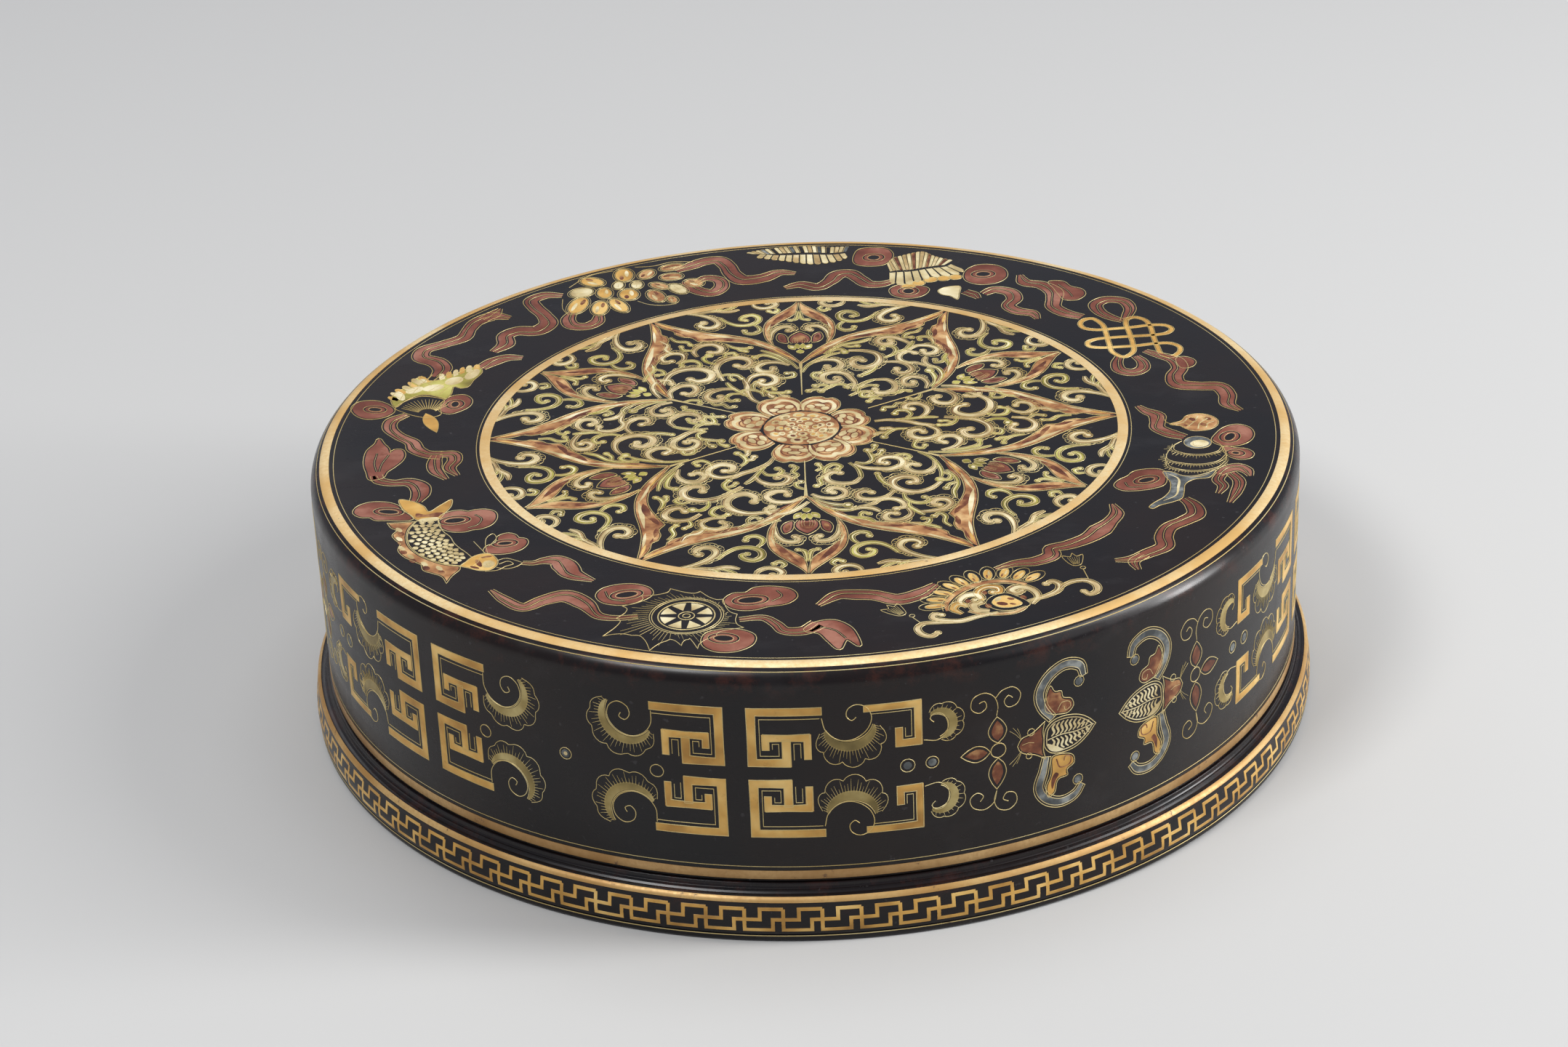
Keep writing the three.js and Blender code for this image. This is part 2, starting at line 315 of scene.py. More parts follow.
goldPlan = {  # pale, ochre, share worn away, strength and depth in mm of the relief
    "goldBand": ((0.84, 0.66, 0.36), (0.66, 0.4, 0.13), 0.46, 0.25, 0.06),
    "bronzeBand": ((0.5, 0.32, 0.135), (0.31, 0.165, 0.052), 0.62, 0.25, 0.06),
    "beadGold": ((0.62, 0.41, 0.165), (0.42, 0.225, 0.062), 0.58, 0.25, 0.06),
    "goldLine": ((0.66, 0.55, 0.27), (0.5, 0.36, 0.12), 0.55, 0.15, 0.03),
}
gold = {}
for name, (pale, ochre, worn, bump, depth) in goldPlan.items():
    values = {"Pale": pale, "Ochre": ochre, "Ground": (0.1, 0.05, 0.025), "Size": 30.0, "Worn": worn}
    gold[name] = newMaterial(name, goldTone, values, bump, depth)

tonePlan = {  # deep, middle and pale, size of the clouds, slot, and mm that its layer lies higher
    "red": ((0.12, 0.03, 0.016), (0.205, 0.064, 0.038), (0.34, 0.15, 0.1), 85.0, "red_lacquer", 0.004),
    "olive": ((0.17, 0.135, 0.026), (0.34, 0.3, 0.06), (0.54, 0.5, 0.15), 85.0, "olive_lacquer", 0.008),
    "cream": ((0.34, 0.25, 0.11), (0.56, 0.46, 0.25), (0.78, 0.7, 0.47), 95.0, "cream_lacquer", 0.016),
    "tan": ((0.2, 0.12, 0.045), (0.42, 0.3, 0.135), (0.68, 0.56, 0.34), 110.0, "cream_lacquer", 0.006),
    "brown": ((0.075, 0.02, 0.009), (0.155, 0.048, 0.02), (0.38, 0.2, 0.08), 230.0, "red_lacquer", 0.013),
    "copper": ((0.19, 0.07, 0.026), (0.39, 0.195, 0.076), (0.62, 0.41, 0.19), 190.0, "copper_lacquer", 0.0),
    "ochre": ((0.13, 0.095, 0.028), (0.27, 0.2, 0.066), (0.46, 0.37, 0.16), 90.0, "gold_lacquer", 0.008),
    "gold": ((0.33, 0.175, 0.038), (0.54, 0.315, 0.078), (0.71, 0.48, 0.17), 75.0, "gold_lacquer", 0.008),
    "blueGrey": ((0.038, 0.042, 0.043), (0.088, 0.095, 0.095), (0.25, 0.26, 0.245), 260.0,
        "blue_grey_lacquer", 0.01),
}
tones = {"line": (gold["goldLine"], "gold_line", 0.0), "ground": (blackLacquer, "black_lacquer", 0.012)}
for name, (deep, middle, pale, size, slotName, layer) in tonePlan.items():
    values = {"Deep": deep, "Middle": middle, "Pale": pale, "Size": size, "Wear": 0.5}
    finish = newMaterial(name + "Inlay", inlayTone, values, 0.12, 0.03, Specular_IOR_Level=0.32)
    tones[name] = (finish, slotName, layer)


def makeSoftwood():
    material, tree, shader = plainMaterial("softwood")
    place = tree.nodes.new("ShaderNodeTexCoord").outputs["Object"]
    along = stretched(tree, place, (5, 70, 70))
    links = {"Scale": 1.6, "Distortion": 5.0, "Detail": 3.0, "Vector": along}
    rings = addNode(tree, "ShaderNodeTexWave", links).outputs[1]
    fibre = noise(tree, stretched(tree, place, (40, 900, 900)), 1, 4, 0.6)
    tone = colourMix(tree, rings, (0.42, 0.25, 0.11), (0.62, 0.42, 0.22))
    tone = colourMix(tree, stretch(tree, fibre, 0.35, 0.7, 0.0, 0.5), tone, (0.3, 0.17, 0.075))
    give(tree, tone, shader["Base Color"])
    give(tree, stretch(tree, fibre, 0.3, 0.7, 0.62, 0.8), shader["Roughness"])
    relief = addNode(tree, "ShaderNodeBump", {"Strength": 0.3, "Distance": 0.1 * mm, "Height": fibre})
    give(tree, relief.outputs["Normal"], shader["Normal"])
    return material


softwood = makeSoftwood()
for nodeName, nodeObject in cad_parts.items():
    if any(word in nodeName for word in ("board", "strip", "plinth_ring")):
        nodeObject.data.materials.clear()
        nodeObject.data.materials.append(softwood)
print("materials ready")


# Turned shells: a profile of (radius, height) in mm, swept round the axis

def newTree(name, takes):
    tree = bpy.data.node_groups.new(name, "GeometryNodeTree")
    takes = [("Geometry", "geometry")] + takes + [("Finish", "material")]
    return tree, *addSockets(tree, takes, [("Geometry", "geometry")])


def endTree(tree, geometry, takes, gives):
    real = addNode(tree, "GeometryNodeRealizeInstances", {"Geometry": geometry})
    links = {"Geometry": real.outputs[0], "Material": takes["Finish"]}
    give(tree, addNode(tree, "GeometryNodeSetMaterial", links).outputs[0], gives["Geometry"])
    return tree


def makeTurnedTree():
    tree, takes, gives = newTree("turnedShell", [("Sides", "count"), ("Hub", "number")])
    profile = addNode(tree, "GeometryNodeMeshToCurve", {"Mesh": takes["Geometry"]})
    inward = addNode(tree, "ShaderNodeCombineXYZ", {"X": times(tree, takes["Hub"], -1.0)})
    links = {"Geometry": profile.outputs[0], "Translation": inward.outputs[0]}
    shifted = addNode(tree, "GeometryNodeTransform", links)
    links = {"Resolution": takes["Sides"], "Radius": takes["Hub"]}
    circle = addNode(tree, "GeometryNodeCurvePrimitiveCircle", links)
    upright = addNode(tree, "GeometryNodeSetCurveNormal", {"Curve": circle.outputs[0]}, mode="Z_UP")
    links = {"Curve": upright.outputs[0], "Profile Curve": shifted.outputs[0]}
    swept = addNode(tree, "GeometryNodeCurveToMesh", links)
    links = {"Geometry": swept.outputs[0], "Distance": 0.002 * mm}
    merged = addNode(tree, "GeometryNodeMergeByDistance", links)
    smooth = addNode(tree, "GeometryNodeSetShadeSmooth", {"Geometry": merged.outputs[0]})
    return endTree(tree, smooth.outputs[0], takes, gives)


def settle(name, mesh, tree, values):
    # Runs a tree on a mesh and leaves the result as a plain mesh in an object at the origin
    piece = bpy.data.objects.new(name, mesh)
    bpy.context.scene.collection.objects.link(piece)
    modifier = piece.modifiers.new("make", "NODES")
    modifier.node_group = tree
    for item in tree.interface.items_tree:
        if item.item_type == "SOCKET" and item.in_out == "INPUT" and item.name in values:
            modifier[item.identifier] = values[item.name]
    depsgraph = bpy.context.evaluated_depsgraph_get()
    result = bpy.data.meshes.new_from_object(piece.evaluated_get(depsgraph), depsgraph=depsgraph)
    piece.modifiers.remove(modifier)
    piece.data = result
    result.name = name
    bpy.data.meshes.remove(mesh)
    return piece


turnPlan = {"sides": 288, "hub": 1.0, "sharp": 34}
turnedTree = makeTurnedTree()


def turned(name, profile, finish, closed):
    mesh = bpy.data.meshes.new(name)
    points = [(r * mm, -z * mm, 0) for r, z in profile]
    edges = [(i, i + 1) for i in range(len(points) - 1)]
    if closed:
        edges.append((len(points) - 1, 0))
    mesh.from_pydata(points, edges, [])
    values = {"Sides": turnPlan["sides"], "Hub": turnPlan["hub"] * mm, "Finish": finish}
    piece = settle(name, mesh, turnedTree, values)
    work = bmesh.new()
    work.from_mesh(piece.data)
    bmesh.ops.remove_doubles(work, verts=work.verts, dist=0.001 * mm)
    bmesh.ops.recalc_face_normals(work, faces=work.faces)
    work.to_mesh(piece.data)
    work.free()
    piece.data.set_sharp_from_angle(angle=math.radians(turnPlan["sharp"]))
    return piece


def arc(centreR, centreZ, radius, start, end, steps):
    points = []
    for i in range(steps + 1):
        angle = math.radians(start + (end - start) * i / steps)
        points.append((centreR + radius * math.cos(angle), centreZ + radius * math.sin(angle)))
    return points


# The skin lies a little inside the CAD so that the raised ornament stays inside its box
skinPlan = {"inset": 0.1, "shoulder": 6.0, "coat": 1.4, "edge": 0.25, "bore": 148.3, "rim": 153.0}
skinRadius = wallRadius - skinPlan["inset"]
skinTop = lidTop - skinPlan["inset"]
shoulderR = wallRadius - skinPlan["shoulder"]
shoulderZ = lidTop - skinPlan["shoulder"]
skinShoulder = skinPlan["shoulder"] - skinPlan["inset"]


def lidShellProfile(plan):
    inner = plan["coat"]
    edge = plan["edge"]
    outside = [(0, skinTop), (60, skinTop), (120, skinTop)]
    outside += arc(shoulderR, shoulderZ, skinShoulder, 90, 0, 14)
    outside += [(skinRadius, 50)]
    outside += arc(skinRadius - edge, lidFoot + edge, edge, 0, -90, 3)
    inside = arc(skinRadius - inner + 0.2, lidFoot + 0.2, 0.2, -90, -180, 2)
    inside += arc(shoulderR, shoulderZ, skinShoulder - inner, 0, 90, 6)
    return outside + inside + [(0, skinTop - inner)]


def lidInsideProfile(plan):
    # Ceiling, cove and bore, then back up on the side in the wood
    bore, cove, thick = plan["bore"], 2.0, 0.8
    ceiling = lidLiningTop - thick
    foot = lidFoot + 1.6
    points = [(0, ceiling)] + arc(bore - cove, ceiling - cove, cove, 90, 0, 6) + [(bore, foot)]
    return points + [(lidLiningRadius, foot), (lidLiningRadius, ceiling + thick), (0, ceiling + thick)]


def rimUnderProfile(plan):
    bore, rim = plan["bore"], plan["rim"]
    return [(bore, lidFoot), (rim, lidFoot), (rim, lidFoot + 1.0), (bore, lidFoot + 1.0)]


bandPlan = {"rim": 0.12, "bead": 0.1, "bury": 0.3, "soft": 0.06, "topInner": 148.5, "roundelInner": 98.4,
    "rimDrop": 0.8}


def flatBand(inner, outer, low, high):
    soft = bandPlan["soft"]
    points = arc(outer - soft, low + soft, soft, -90, 0, 2) + arc(outer - soft, high - soft, soft, 0, 90, 2)
    return points + [(inner, high), (inner, low)]


def topBandProfile():
    # Follows the shoulder outside, lies flat on the top inside
    inner, bury = bandPlan["topInner"], bandPlan["bury"]
    startAngle = math.degrees(math.acos((topBandRadius - shoulderR) / skinPlan["shoulder"]))
    outer = arc(shoulderR, shoulderZ, skinPlan["shoulder"], startAngle, 90, 8)
    under = arc(shoulderR, shoulderZ, skinShoulder - bury, 90, startAngle, 4)
    return outer + [(inner, lidTop), (inner, skinTop - bury)] + under


threadPlan = {"width": 0.42, "rise": 0.05, "inside": 147.1, "shoulder": 152.6, "roundel": 102.6,
    "wall": 22.2, "plinth": 2.1, "plinthSkin": 159.62}
threadHalf, threadRise = threadPlan["width"] / 2, threadPlan["rise"]


def threadOnTop(radius):
    low = skinTop - threadRise
    return [(radius - threadHalf, low), (radius + threadHalf, low), (radius, skinTop + threadRise)]


def threadOnWall(skin, height):
    low = skin - threadRise
    return [(low, height - threadHalf), (skin + threadRise, height), (low, height + threadHalf)]


def threadOnShoulder(planRadius):
    angle = math.acos((planRadius - shoulderR) / skinPlan["shoulder"])
    half = threadHalf / skinShoulder
    low = skinShoulder - threadRise
    points = []
    for turn, radius in ((-half, low), (0, skinShoulder + threadRise), (half, low)):
        points.append((shoulderR + radius * math.cos(angle + turn),
            shoulderZ + radius * math.sin(angle + turn)))
    return points


plinthPlan = {"inset": 0.1, "bead": 2.6, "beadHeight": 12.0, "beadOuter": 159.2, "footRounding": 1.2,
    "foot": 159.6, "ledge": 17.0, "collar": 147.7, "bore": 142.0, "floor": 12.3}
beadR = plinthPlan["beadOuter"] - plinthPlan["bead"]
beadSize = plinthPlan["bead"] - plinthPlan["inset"]


def plinthSide(plan):
    widest = plinthRadius - plan["inset"]
    side = [(plan["foot"], footTop + 0.3), (widest - 0.08, 4.2), (widest, 6.0), (widest - 0.25, 8.5)]
    return side + [(159.15, 11.2), (159.1, 12)]


def baseShellProfile(plan):
    # Fascia, bead and hollow up to the ledge, over the collar and back inside the coat
    ledge, collar = plan["ledge"], plan["collar"]
    points = [(158.4, footTop + 0.3)] + plinthSide(plan)[:-1]
    points += arc(beadR, plan["beadHeight"], beadSize, 0, 88, 12)
    points += arc(beadR, ledge - 0.6, beadR - 155.2, 238, 182, 7)
    points += arc(155.1 - 0.2, ledge - 0.25, 0.2, 0, 90, 3)
    points += [(collar, ledge - 0.05), (collar, collarTop), (collar - 0.8, collarTop),
        (collar - 0.8, ledge - 1.0)]
    return points + [(156.0, ledge - 1.6), (157.6, 11.4), (158.4, footTop + 1.5)]


def beadRingProfile(plan):
    outer = arc(beadR, plan["beadHeight"], beadSize + bandPlan["bead"], 20, 60, 8)
    return outer + arc(beadR, plan["beadHeight"], beadSize - bandPlan["bury"], 60, 20, 4)


def footProfile(plan):
    outer, bore, rounding = plan["foot"], plan["bore"], plan["footRounding"]
    points = [(bore, 0.0)] + arc(outer - rounding, rounding, rounding, -90, 0, 6)
    return points + [(outer, footTop), (bore, footTop)]


def baseInsideProfile(plan):
    # Floor, cove and bore, over the collar's edge and down behind
    bore, collar, low = plan["bore"], plan["collar"], plan["floor"]
    cove, lip, thick = 2.0, 0.4, 0.8
    points = [(0, low)] + arc(bore - cove, low + cove, cove, -90, 0, 6)
    points += arc(bore + lip, liningTop - lip, lip, 180, 90, 3)
    points += arc(collar - lip, liningTop - lip, lip, 90, 0, 3)
    points += [(collar, liningTop - thick), (bore + thick, liningTop - thick)]
    return points + [(bore + thick, low - thick), (0, low - thick)]


def undersideProfile(plan):
    edge, low, high = plan["bore"] + 0.8, undersideLow.z / mm, undersideHigh.z / mm
    return [(0, low), (edge, low), (edge, high), (0, high)]


shellRows = [  # name, profile, finish, whether it closes on itself, body, slot, the nodes it stands for
    ("lidShell", lidShellProfile(skinPlan), blackLacquer, False, "lid", "black_lacquer", ["lid_coat"]),
    ("topGoldRing", topBandProfile(), gold["goldBand"], True, "lid", "gold_lacquer",
        ["lid_top_gold_band"]),
    ("roundelGoldRing", flatBand(bandPlan["roundelInner"], roundelBandRadius, skinTop - bandPlan["bury"],
        lidTop), gold["goldBand"], True, "lid", "gold_lacquer", ["lid_roundel_gold_band"]),
    ("rimGoldRing", flatBand(skinRadius - bandPlan["bury"], skinRadius + bandPlan["rim"],
        rimLow + bandPlan["rimDrop"], rimHigh), gold["bronzeBand"], True, "lid", "gold_lacquer",
        ["lid_rim_gold_band"]),
    ("topThread", threadOnTop(threadPlan["inside"]), gold["goldLine"], True, "lid", "gold_line", []),
    ("shoulderThread", threadOnShoulder(threadPlan["shoulder"]), gold["goldLine"], True, "lid",
        "gold_line", []),
    ("roundelThread", threadOnTop(threadPlan["roundel"]), gold["goldLine"], True, "lid", "gold_line", []),
    ("wallThread", threadOnWall(skinRadius, threadPlan["wall"]), gold["goldLine"], True, "lid",
        "gold_line", []),
    ("lidInside", lidInsideProfile(skinPlan), innerLacquer, False, "lid", "lining_lacquer",
        ["lid_lining"]),
    ("rimUnder", rimUnderProfile(skinPlan), blackLacquer, True, "lid", "black_lacquer", []),
    ("baseShell", baseShellProfile(plinthPlan), plinthLacquer, True, "base", "black_lacquer",
        ["base_coat"]),
    ("beadGoldRing", beadRingProfile(plinthPlan), gold["beadGold"], True, "base", "gold_lacquer",
        ["base_bead_gold_band"]),
    ("footRing", footProfile(plinthPlan), blackLacquer, True, "base", "black_lacquer",
        ["base_foot_ring"]),
    ("plinthThread", threadOnWall(threadPlan["plinthSkin"], threadPlan["plinth"]), gold["goldLine"], True,
        "base", "gold_line", []),
    ("baseInside", baseInsideProfile(plinthPlan), innerLacquer, False, "base", "lining_lacquer",
        ["base_lining"]),
    ("baseUnderside", undersideProfile(plinthPlan), innerLacquer, False, "base", "black_lacquer",
        ["base_underside_coat"]),
]
pieces = []
for name, profile, finish, closed, body, slotName, nodes in shellRows:
    pieces.append((turned(name, profile, finish, closed), body, slotName, nodes))
print("turned shells made")


# Inlay tree: flat art in mm becomes thin closed plates and raised lines on the top or round a wall
# Loose edges follow their halfWidth, faces become plates, and lift sets layers apart

def makeInlayTree(name, onWall):
    tree, takes, gives = newTree(name, [("Seat", "number"), ("Rise", "number"), ("Sink", "number"),
        ("Crown", "number"), ("Copies", "count")])

    def attribute(key):
        return addNode(tree, "GeometryNodeInputNamedAttribute", {"Name": key}, data_type="FLOAT").outputs[0]

    links = {"Geometry": takes["Geometry"], "Selection": attribute("onPath")}
    split = addNode(tree, "GeometryNodeSeparateGeometry", links)
    path = addNode(tree, "GeometryNodeMeshToCurve", {"Mesh": split.outputs[0]})
    links = {"Curve": path.outputs[0], "Radius": attribute("halfWidth")}
    wide = addNode(tree, "GeometryNodeSetCurveRadius", links)
    upright = addNode(tree, "GeometryNodeSetCurveNormal", {"Curve": wide.outputs[0]}, mode="Z_UP")
    crown = times(tree, takes["Crown"], 2.0)
    links = {"Height": 0.02, "Bottom Width": 2.0, "Offset": 0.0, "Top Width": crown}
    section = addNode(tree, "GeometryNodeCurvePrimitiveQuadrilateral", links, mode="TRAPEZOID")
    links = {"Geometry": section.outputs[0], "Translation": (0, -0.01, 0), "Scale": (1, -1, 1)}
    flipped = addNode(tree, "GeometryNodeTransform", links)
    links = {"Curve": upright.outputs[0], "Profile Curve": flipped.outputs[0], "Fill Caps": True,
        "Scale": attribute("halfWidth")}
    swept = addNode(tree, "GeometryNodeCurveToMesh", links)
    outward = addNode(tree, "GeometryNodeFlipFaces", {"Mesh": swept.outputs[0]})
    links = {"Mesh": split.outputs[1], "Offset": (0, 0, 1), "Offset Scale": 0.001, "Individual": False}
    raised = addNode(tree, "GeometryNodeExtrudeMesh", links)
    under = addNode(tree, "GeometryNodeFlipFaces", {"Mesh": split.outputs[1]})
    closed = addNode(tree, "GeometryNodeJoinGeometry")
    give(tree, raised.outputs[0], closed.inputs[0])
    give(tree, under.outputs[0], closed.inputs[0])
    plates = addNode(tree, "GeometryNodeMergeByDistance", {"Geometry": closed.outputs[0], "Distance": 1e-7})
    both = addNode(tree, "GeometryNodeJoinGeometry")
    give(tree, outward.outputs[0], both.inputs[0])
    give(tree, plates.outputs[0], both.inputs[0])

    position = tree.nodes.new("GeometryNodeInputPosition").outputs[0]
    flat = addNode(tree, "ShaderNodeSeparateXYZ", {0: position}).outputs
    above = maths(tree, "GREATER_THAN", flat[2], 1e-7)
    crest = plus(tree, takes["Rise"], attribute("lift"))
    height = times(tree, above, plus(tree, crest, takes["Sink"]))
    height = maths(tree, "SUBTRACT", height, takes["Sink"])
    reach = plus(tree, takes["Seat"], height)
    parts = {"X": flat[0], "Y": flat[1], "Z": reach}
    if onWall:
        angle = maths(tree, "DIVIDE", flat[0], takes["Seat"])
        sideways = times(tree, reach, maths(tree, "SINE", angle))
        forward = times(tree, times(tree, reach, maths(tree, "COSINE", angle)), -1.0)
        parts = {"X": sideways, "Y": forward, "Z": flat[1]}
    target = addNode(tree, "ShaderNodeCombineXYZ", parts)
    links = {"Geometry": both.outputs[0], "Position": target.outputs[0]}
    laid = addNode(tree, "GeometryNodeSetPosition", links)

    marks = addNode(tree, "GeometryNodeMeshLine", {"Count": takes["Copies"], "Offset": (0, 0, 0)})
    step = maths(tree, "DIVIDE", math.tau, takes["Copies"])
    number = tree.nodes.new("GeometryNodeInputIndex").outputs[0]
    spin = addNode(tree, "ShaderNodeCombineXYZ", {"Z": times(tree, number, step)})
    links = {"Points": marks.outputs[0], "Instance": laid.outputs[0], "Rotation": spin.outputs[0]}
    copies = addNode(tree, "GeometryNodeInstanceOnPoints", links)
    return endTree(tree, copies.outputs[0], takes, gives)


inlayTrees = {"top": makeInlayTree("inlayOnTop", False), "wall": makeInlayTree("inlayRoundWall", True)}
inlayPlan = {
    "wallLine": 0.76,  # share of its drawn width that a line keeps
    "topLine": 0.86,
    "plate": 5.0,  # spacing of the points inside a plate on the wall
    "line": {"Rise": 0.082, "Sink": 0.03, "Crown": 0.45},
    "tone": {"Rise": 0.035, "Sink": 0.03, "Crown": 0.86},
    "step": 0.0011,  # mm between plates or lines of one tone that cross
    "sharp": 25,
}


# Drawing kit, all in mm on flat paper

def flow(points, step=0.9, closed=False):
    # A smooth curve through the points (centripetal, so that it doesn't overshoot)
    p = np.asarray(points, float)
    if closed:
        p = np.vstack([p[-1], p, p[0], p[1]])
    else:
        p = np.vstack([2 * p[0] - p[1], p, 2 * p[-1] - p[-2]])
    out = []
    for i in range(1, len(p) - 2):
        a, b, c, d = p[i - 1], p[i], p[i + 1], p[i + 2]
        t0 = 0.0
        t1 = t0 + max(np.linalg.norm(b - a), 1e-6) ** 0.5
        t2 = t1 + max(np.linalg.norm(c - b), 1e-6) ** 0.5
        t3 = t2 + max(np.linalg.norm(d - c), 1e-6) ** 0.5
        count = max(1, math.ceil(np.linalg.norm(c - b) / step))
        t = (t1 + (t2 - t1) * np.arange(count) / count)[:, None]
        a1 = (t1 - t) / (t1 - t0) * a + (t - t0) / (t1 - t0) * b
        a2 = (t2 - t) / (t2 - t1) * b + (t - t1) / (t2 - t1) * c
        a3 = (t3 - t) / (t3 - t2) * c + (t - t2) / (t3 - t2) * d
        b1 = (t2 - t) / (t2 - t0) * a1 + (t - t0) / (t2 - t0) * a2
        b2 = (t3 - t) / (t3 - t1) * a2 + (t - t1) / (t3 - t1) * a3
        out.append((t2 - t) / (t2 - t1) * b1 + (t - t1) / (t2 - t1) * b2)
    if not closed:
        out.append(p[-2:-1])
    return np.vstack(out)


def chain(*runs, step=0.9):
    # Smooth runs joined at sharp corners
    parts = [flow(run, step)[:-1] for run in runs]
    return np.vstack(parts + [np.asarray(runs[-1][-1:], float)])


def circle(x, y, radius, count=0):
    count = count or max(10, int(radius * 7))
    angles = np.arange(count) * math.tau / count
    return np.stack([x + radius * np.cos(angles), y + radius * np.sin(angles)], 1)


def oval(x, y, rx, ry, tilt=0, count=22):
    angles = np.arange(count) * math.tau / count
    points = np.stack([rx * np.cos(angles), ry * np.sin(angles)], 1)
    c, s = math.cos(math.radians(tilt)), math.sin(math.radians(tilt))
    return np.stack([x + c * points[:, 0] - s * points[:, 1], y + s * points[:, 0] + c * points[:, 1]], 1)


def normals(points):
    ahead = np.roll(points, -1, 0)
    behind = np.roll(points, 1, 0)
    ahead[-1] = points[-1]
    behind[0] = points[0]
    along = ahead - behind
    along /= np.maximum(np.linalg.norm(along, axis=1, keepdims=True), 1e-9)
    return np.stack([-along[:, 1], along[:, 0]], 1)


def lengths(points):
    steps = np.linalg.norm(np.diff(points, axis=0), axis=1)
    return np.concatenate([[0], np.cumsum(steps)])


def shares(points):
    # How far along the run each point lies, from 0 to 1
    walked = lengths(points)
    return walked / walked[-1]


def spread(points, widths):
    # Half widths along a run, from pairs of (share of the length, width)
    stops, values = zip(*widths)
    return np.interp(shares(points), stops, values) / 2


def newArt():
    return {"paths": [], "fills": []}


def line(art, points, width=0.42, tone="line", closed=False):
    art["paths"].append((tone, np.asarray(points, float), np.full(len(points), width / 2), closed))


def ring(art, points, width=0.42, tone="line"):
    line(art, points, width, tone, True)


def curves(art, width, *runs, tone="line"):
    for run in runs:
        line(art, flow(run), width, tone)


def band(art, tone, points, widths):
    points = np.asarray(points, float)
    art["paths"].append((tone, points, spread(points, widths), False))


def fill(art, tone, outline):
    art["fills"].append((tone, np.asarray(outline, float)))


def mapped(art, move):
    result = newArt()
    for tone, points, half, closed in art["paths"]:
        result["paths"].append((tone, move(points), half, closed))
    for tone, outline in art["fills"]:
        result["fills"].append((tone, move(outline)))
    return result


def added(*arts):
    result = newArt()
    for art in arts:
        result["paths"] += art["paths"]
        result["fills"] += art["fills"]
    return result


def mirroredX(art, axis=0.0):
    return mapped(art, lambda p: np.stack([2 * axis - p[:, 0], p[:, 1]], 1))


def mirroredY(art, axis=0.0):
    return mapped(art, lambda p: np.stack([p[:, 0], 2 * axis - p[:, 1]], 1))


def rotated(art, degrees):
    c, s = math.cos(math.radians(degrees)), math.sin(math.radians(degrees))
    return mapped(art, lambda p: np.stack([c * p[:, 0] - s * p[:, 1], s * p[:, 0] + c * p[:, 1]], 1))


def shifted(art, dx, dy):
    return mapped(art, lambda p: p + np.array([dx, dy]))


def mitred(points, half, closed):
    # Widens a line at its corners so that it keeps its width there
    ahead = np.roll(points, -1, 0) - points
    behind = points - np.roll(points, 1, 0)
    ahead /= np.maximum(np.linalg.norm(ahead, axis=1, keepdims=True), 1e-9)
    behind /= np.maximum(np.linalg.norm(behind, axis=1, keepdims=True), 1e-9)
    cosine = np.clip((ahead * behind).sum(1), -0.6, 1)
    factor = 1 / np.sqrt((1 + cosine) / 2)
    if not closed:
        factor[0] = factor[-1] = 1
    return half * np.minimum(factor, 1.9)


def platePoints(outline, spacing):
    # Extra points inside a large outline, so that its plate can follow the wall
    low, high = outline.min(0), outline.max(0)
    if spacing <= 0 or (high[0] - low[0]) < spacing * 1.3:
        return []
    columns = np.arange(low[0] + spacing * 0.7, high[0], spacing)
    rows = np.arange(low[1] + spacing * 0.6, high[1], spacing * 1.4)
    inside = []
    for x in columns:
        for y in rows:
            if pointInside(outline, x, y):
                inside.append(Vector((x, y)))
    return inside


def pointInside(outline, x, y):
    nextX = np.roll(outline[:, 0], -1)
    nextY = np.roll(outline[:, 1], -1)
    crosses = (outline[:, 1] > y) != (nextY > y)
    slope = np.where(nextY == outline[:, 1], 1e-9, nextY - outline[:, 1])
    at = outline[:, 0] + (y - outline[:, 1]) * (nextX - outline[:, 0]) / slope
    return bool((crosses & (at > x)).sum() % 2)


def tidied(outline):
    # Without doubled points and without the small loops where an outline turns back on itself
    step = np.linalg.norm(np.roll(outline, -1, 0) - outline, axis=1)
    points = outline[step > 0.02]
    apart = 2
    while apart < 9 and len(points) > 2 * apart + 4:
        a, b = points, np.roll(points, -1, 0)
        c, d = np.roll(points, -apart, 0), np.roll(points, -apart - 1, 0)
        crossed = (turnOf(a, b, c) * turnOf(a, b, d) <= 0) & (turnOf(c, d, a) * turnOf(c, d, b) <= 0)
        found = np.flatnonzero(crossed)
        if len(found):
            points = np.delete(points, (found[0] + 1 + np.arange(apart)) % len(points), 0)
        else:
            apart += 1
    return points


def turnOf(a, b, c):
    return (b[:, 0] - a[:, 0]) * (c[:, 1] - a[:, 1]) - (b[:, 1] - a[:, 1]) * (c[:, 0] - a[:, 0])


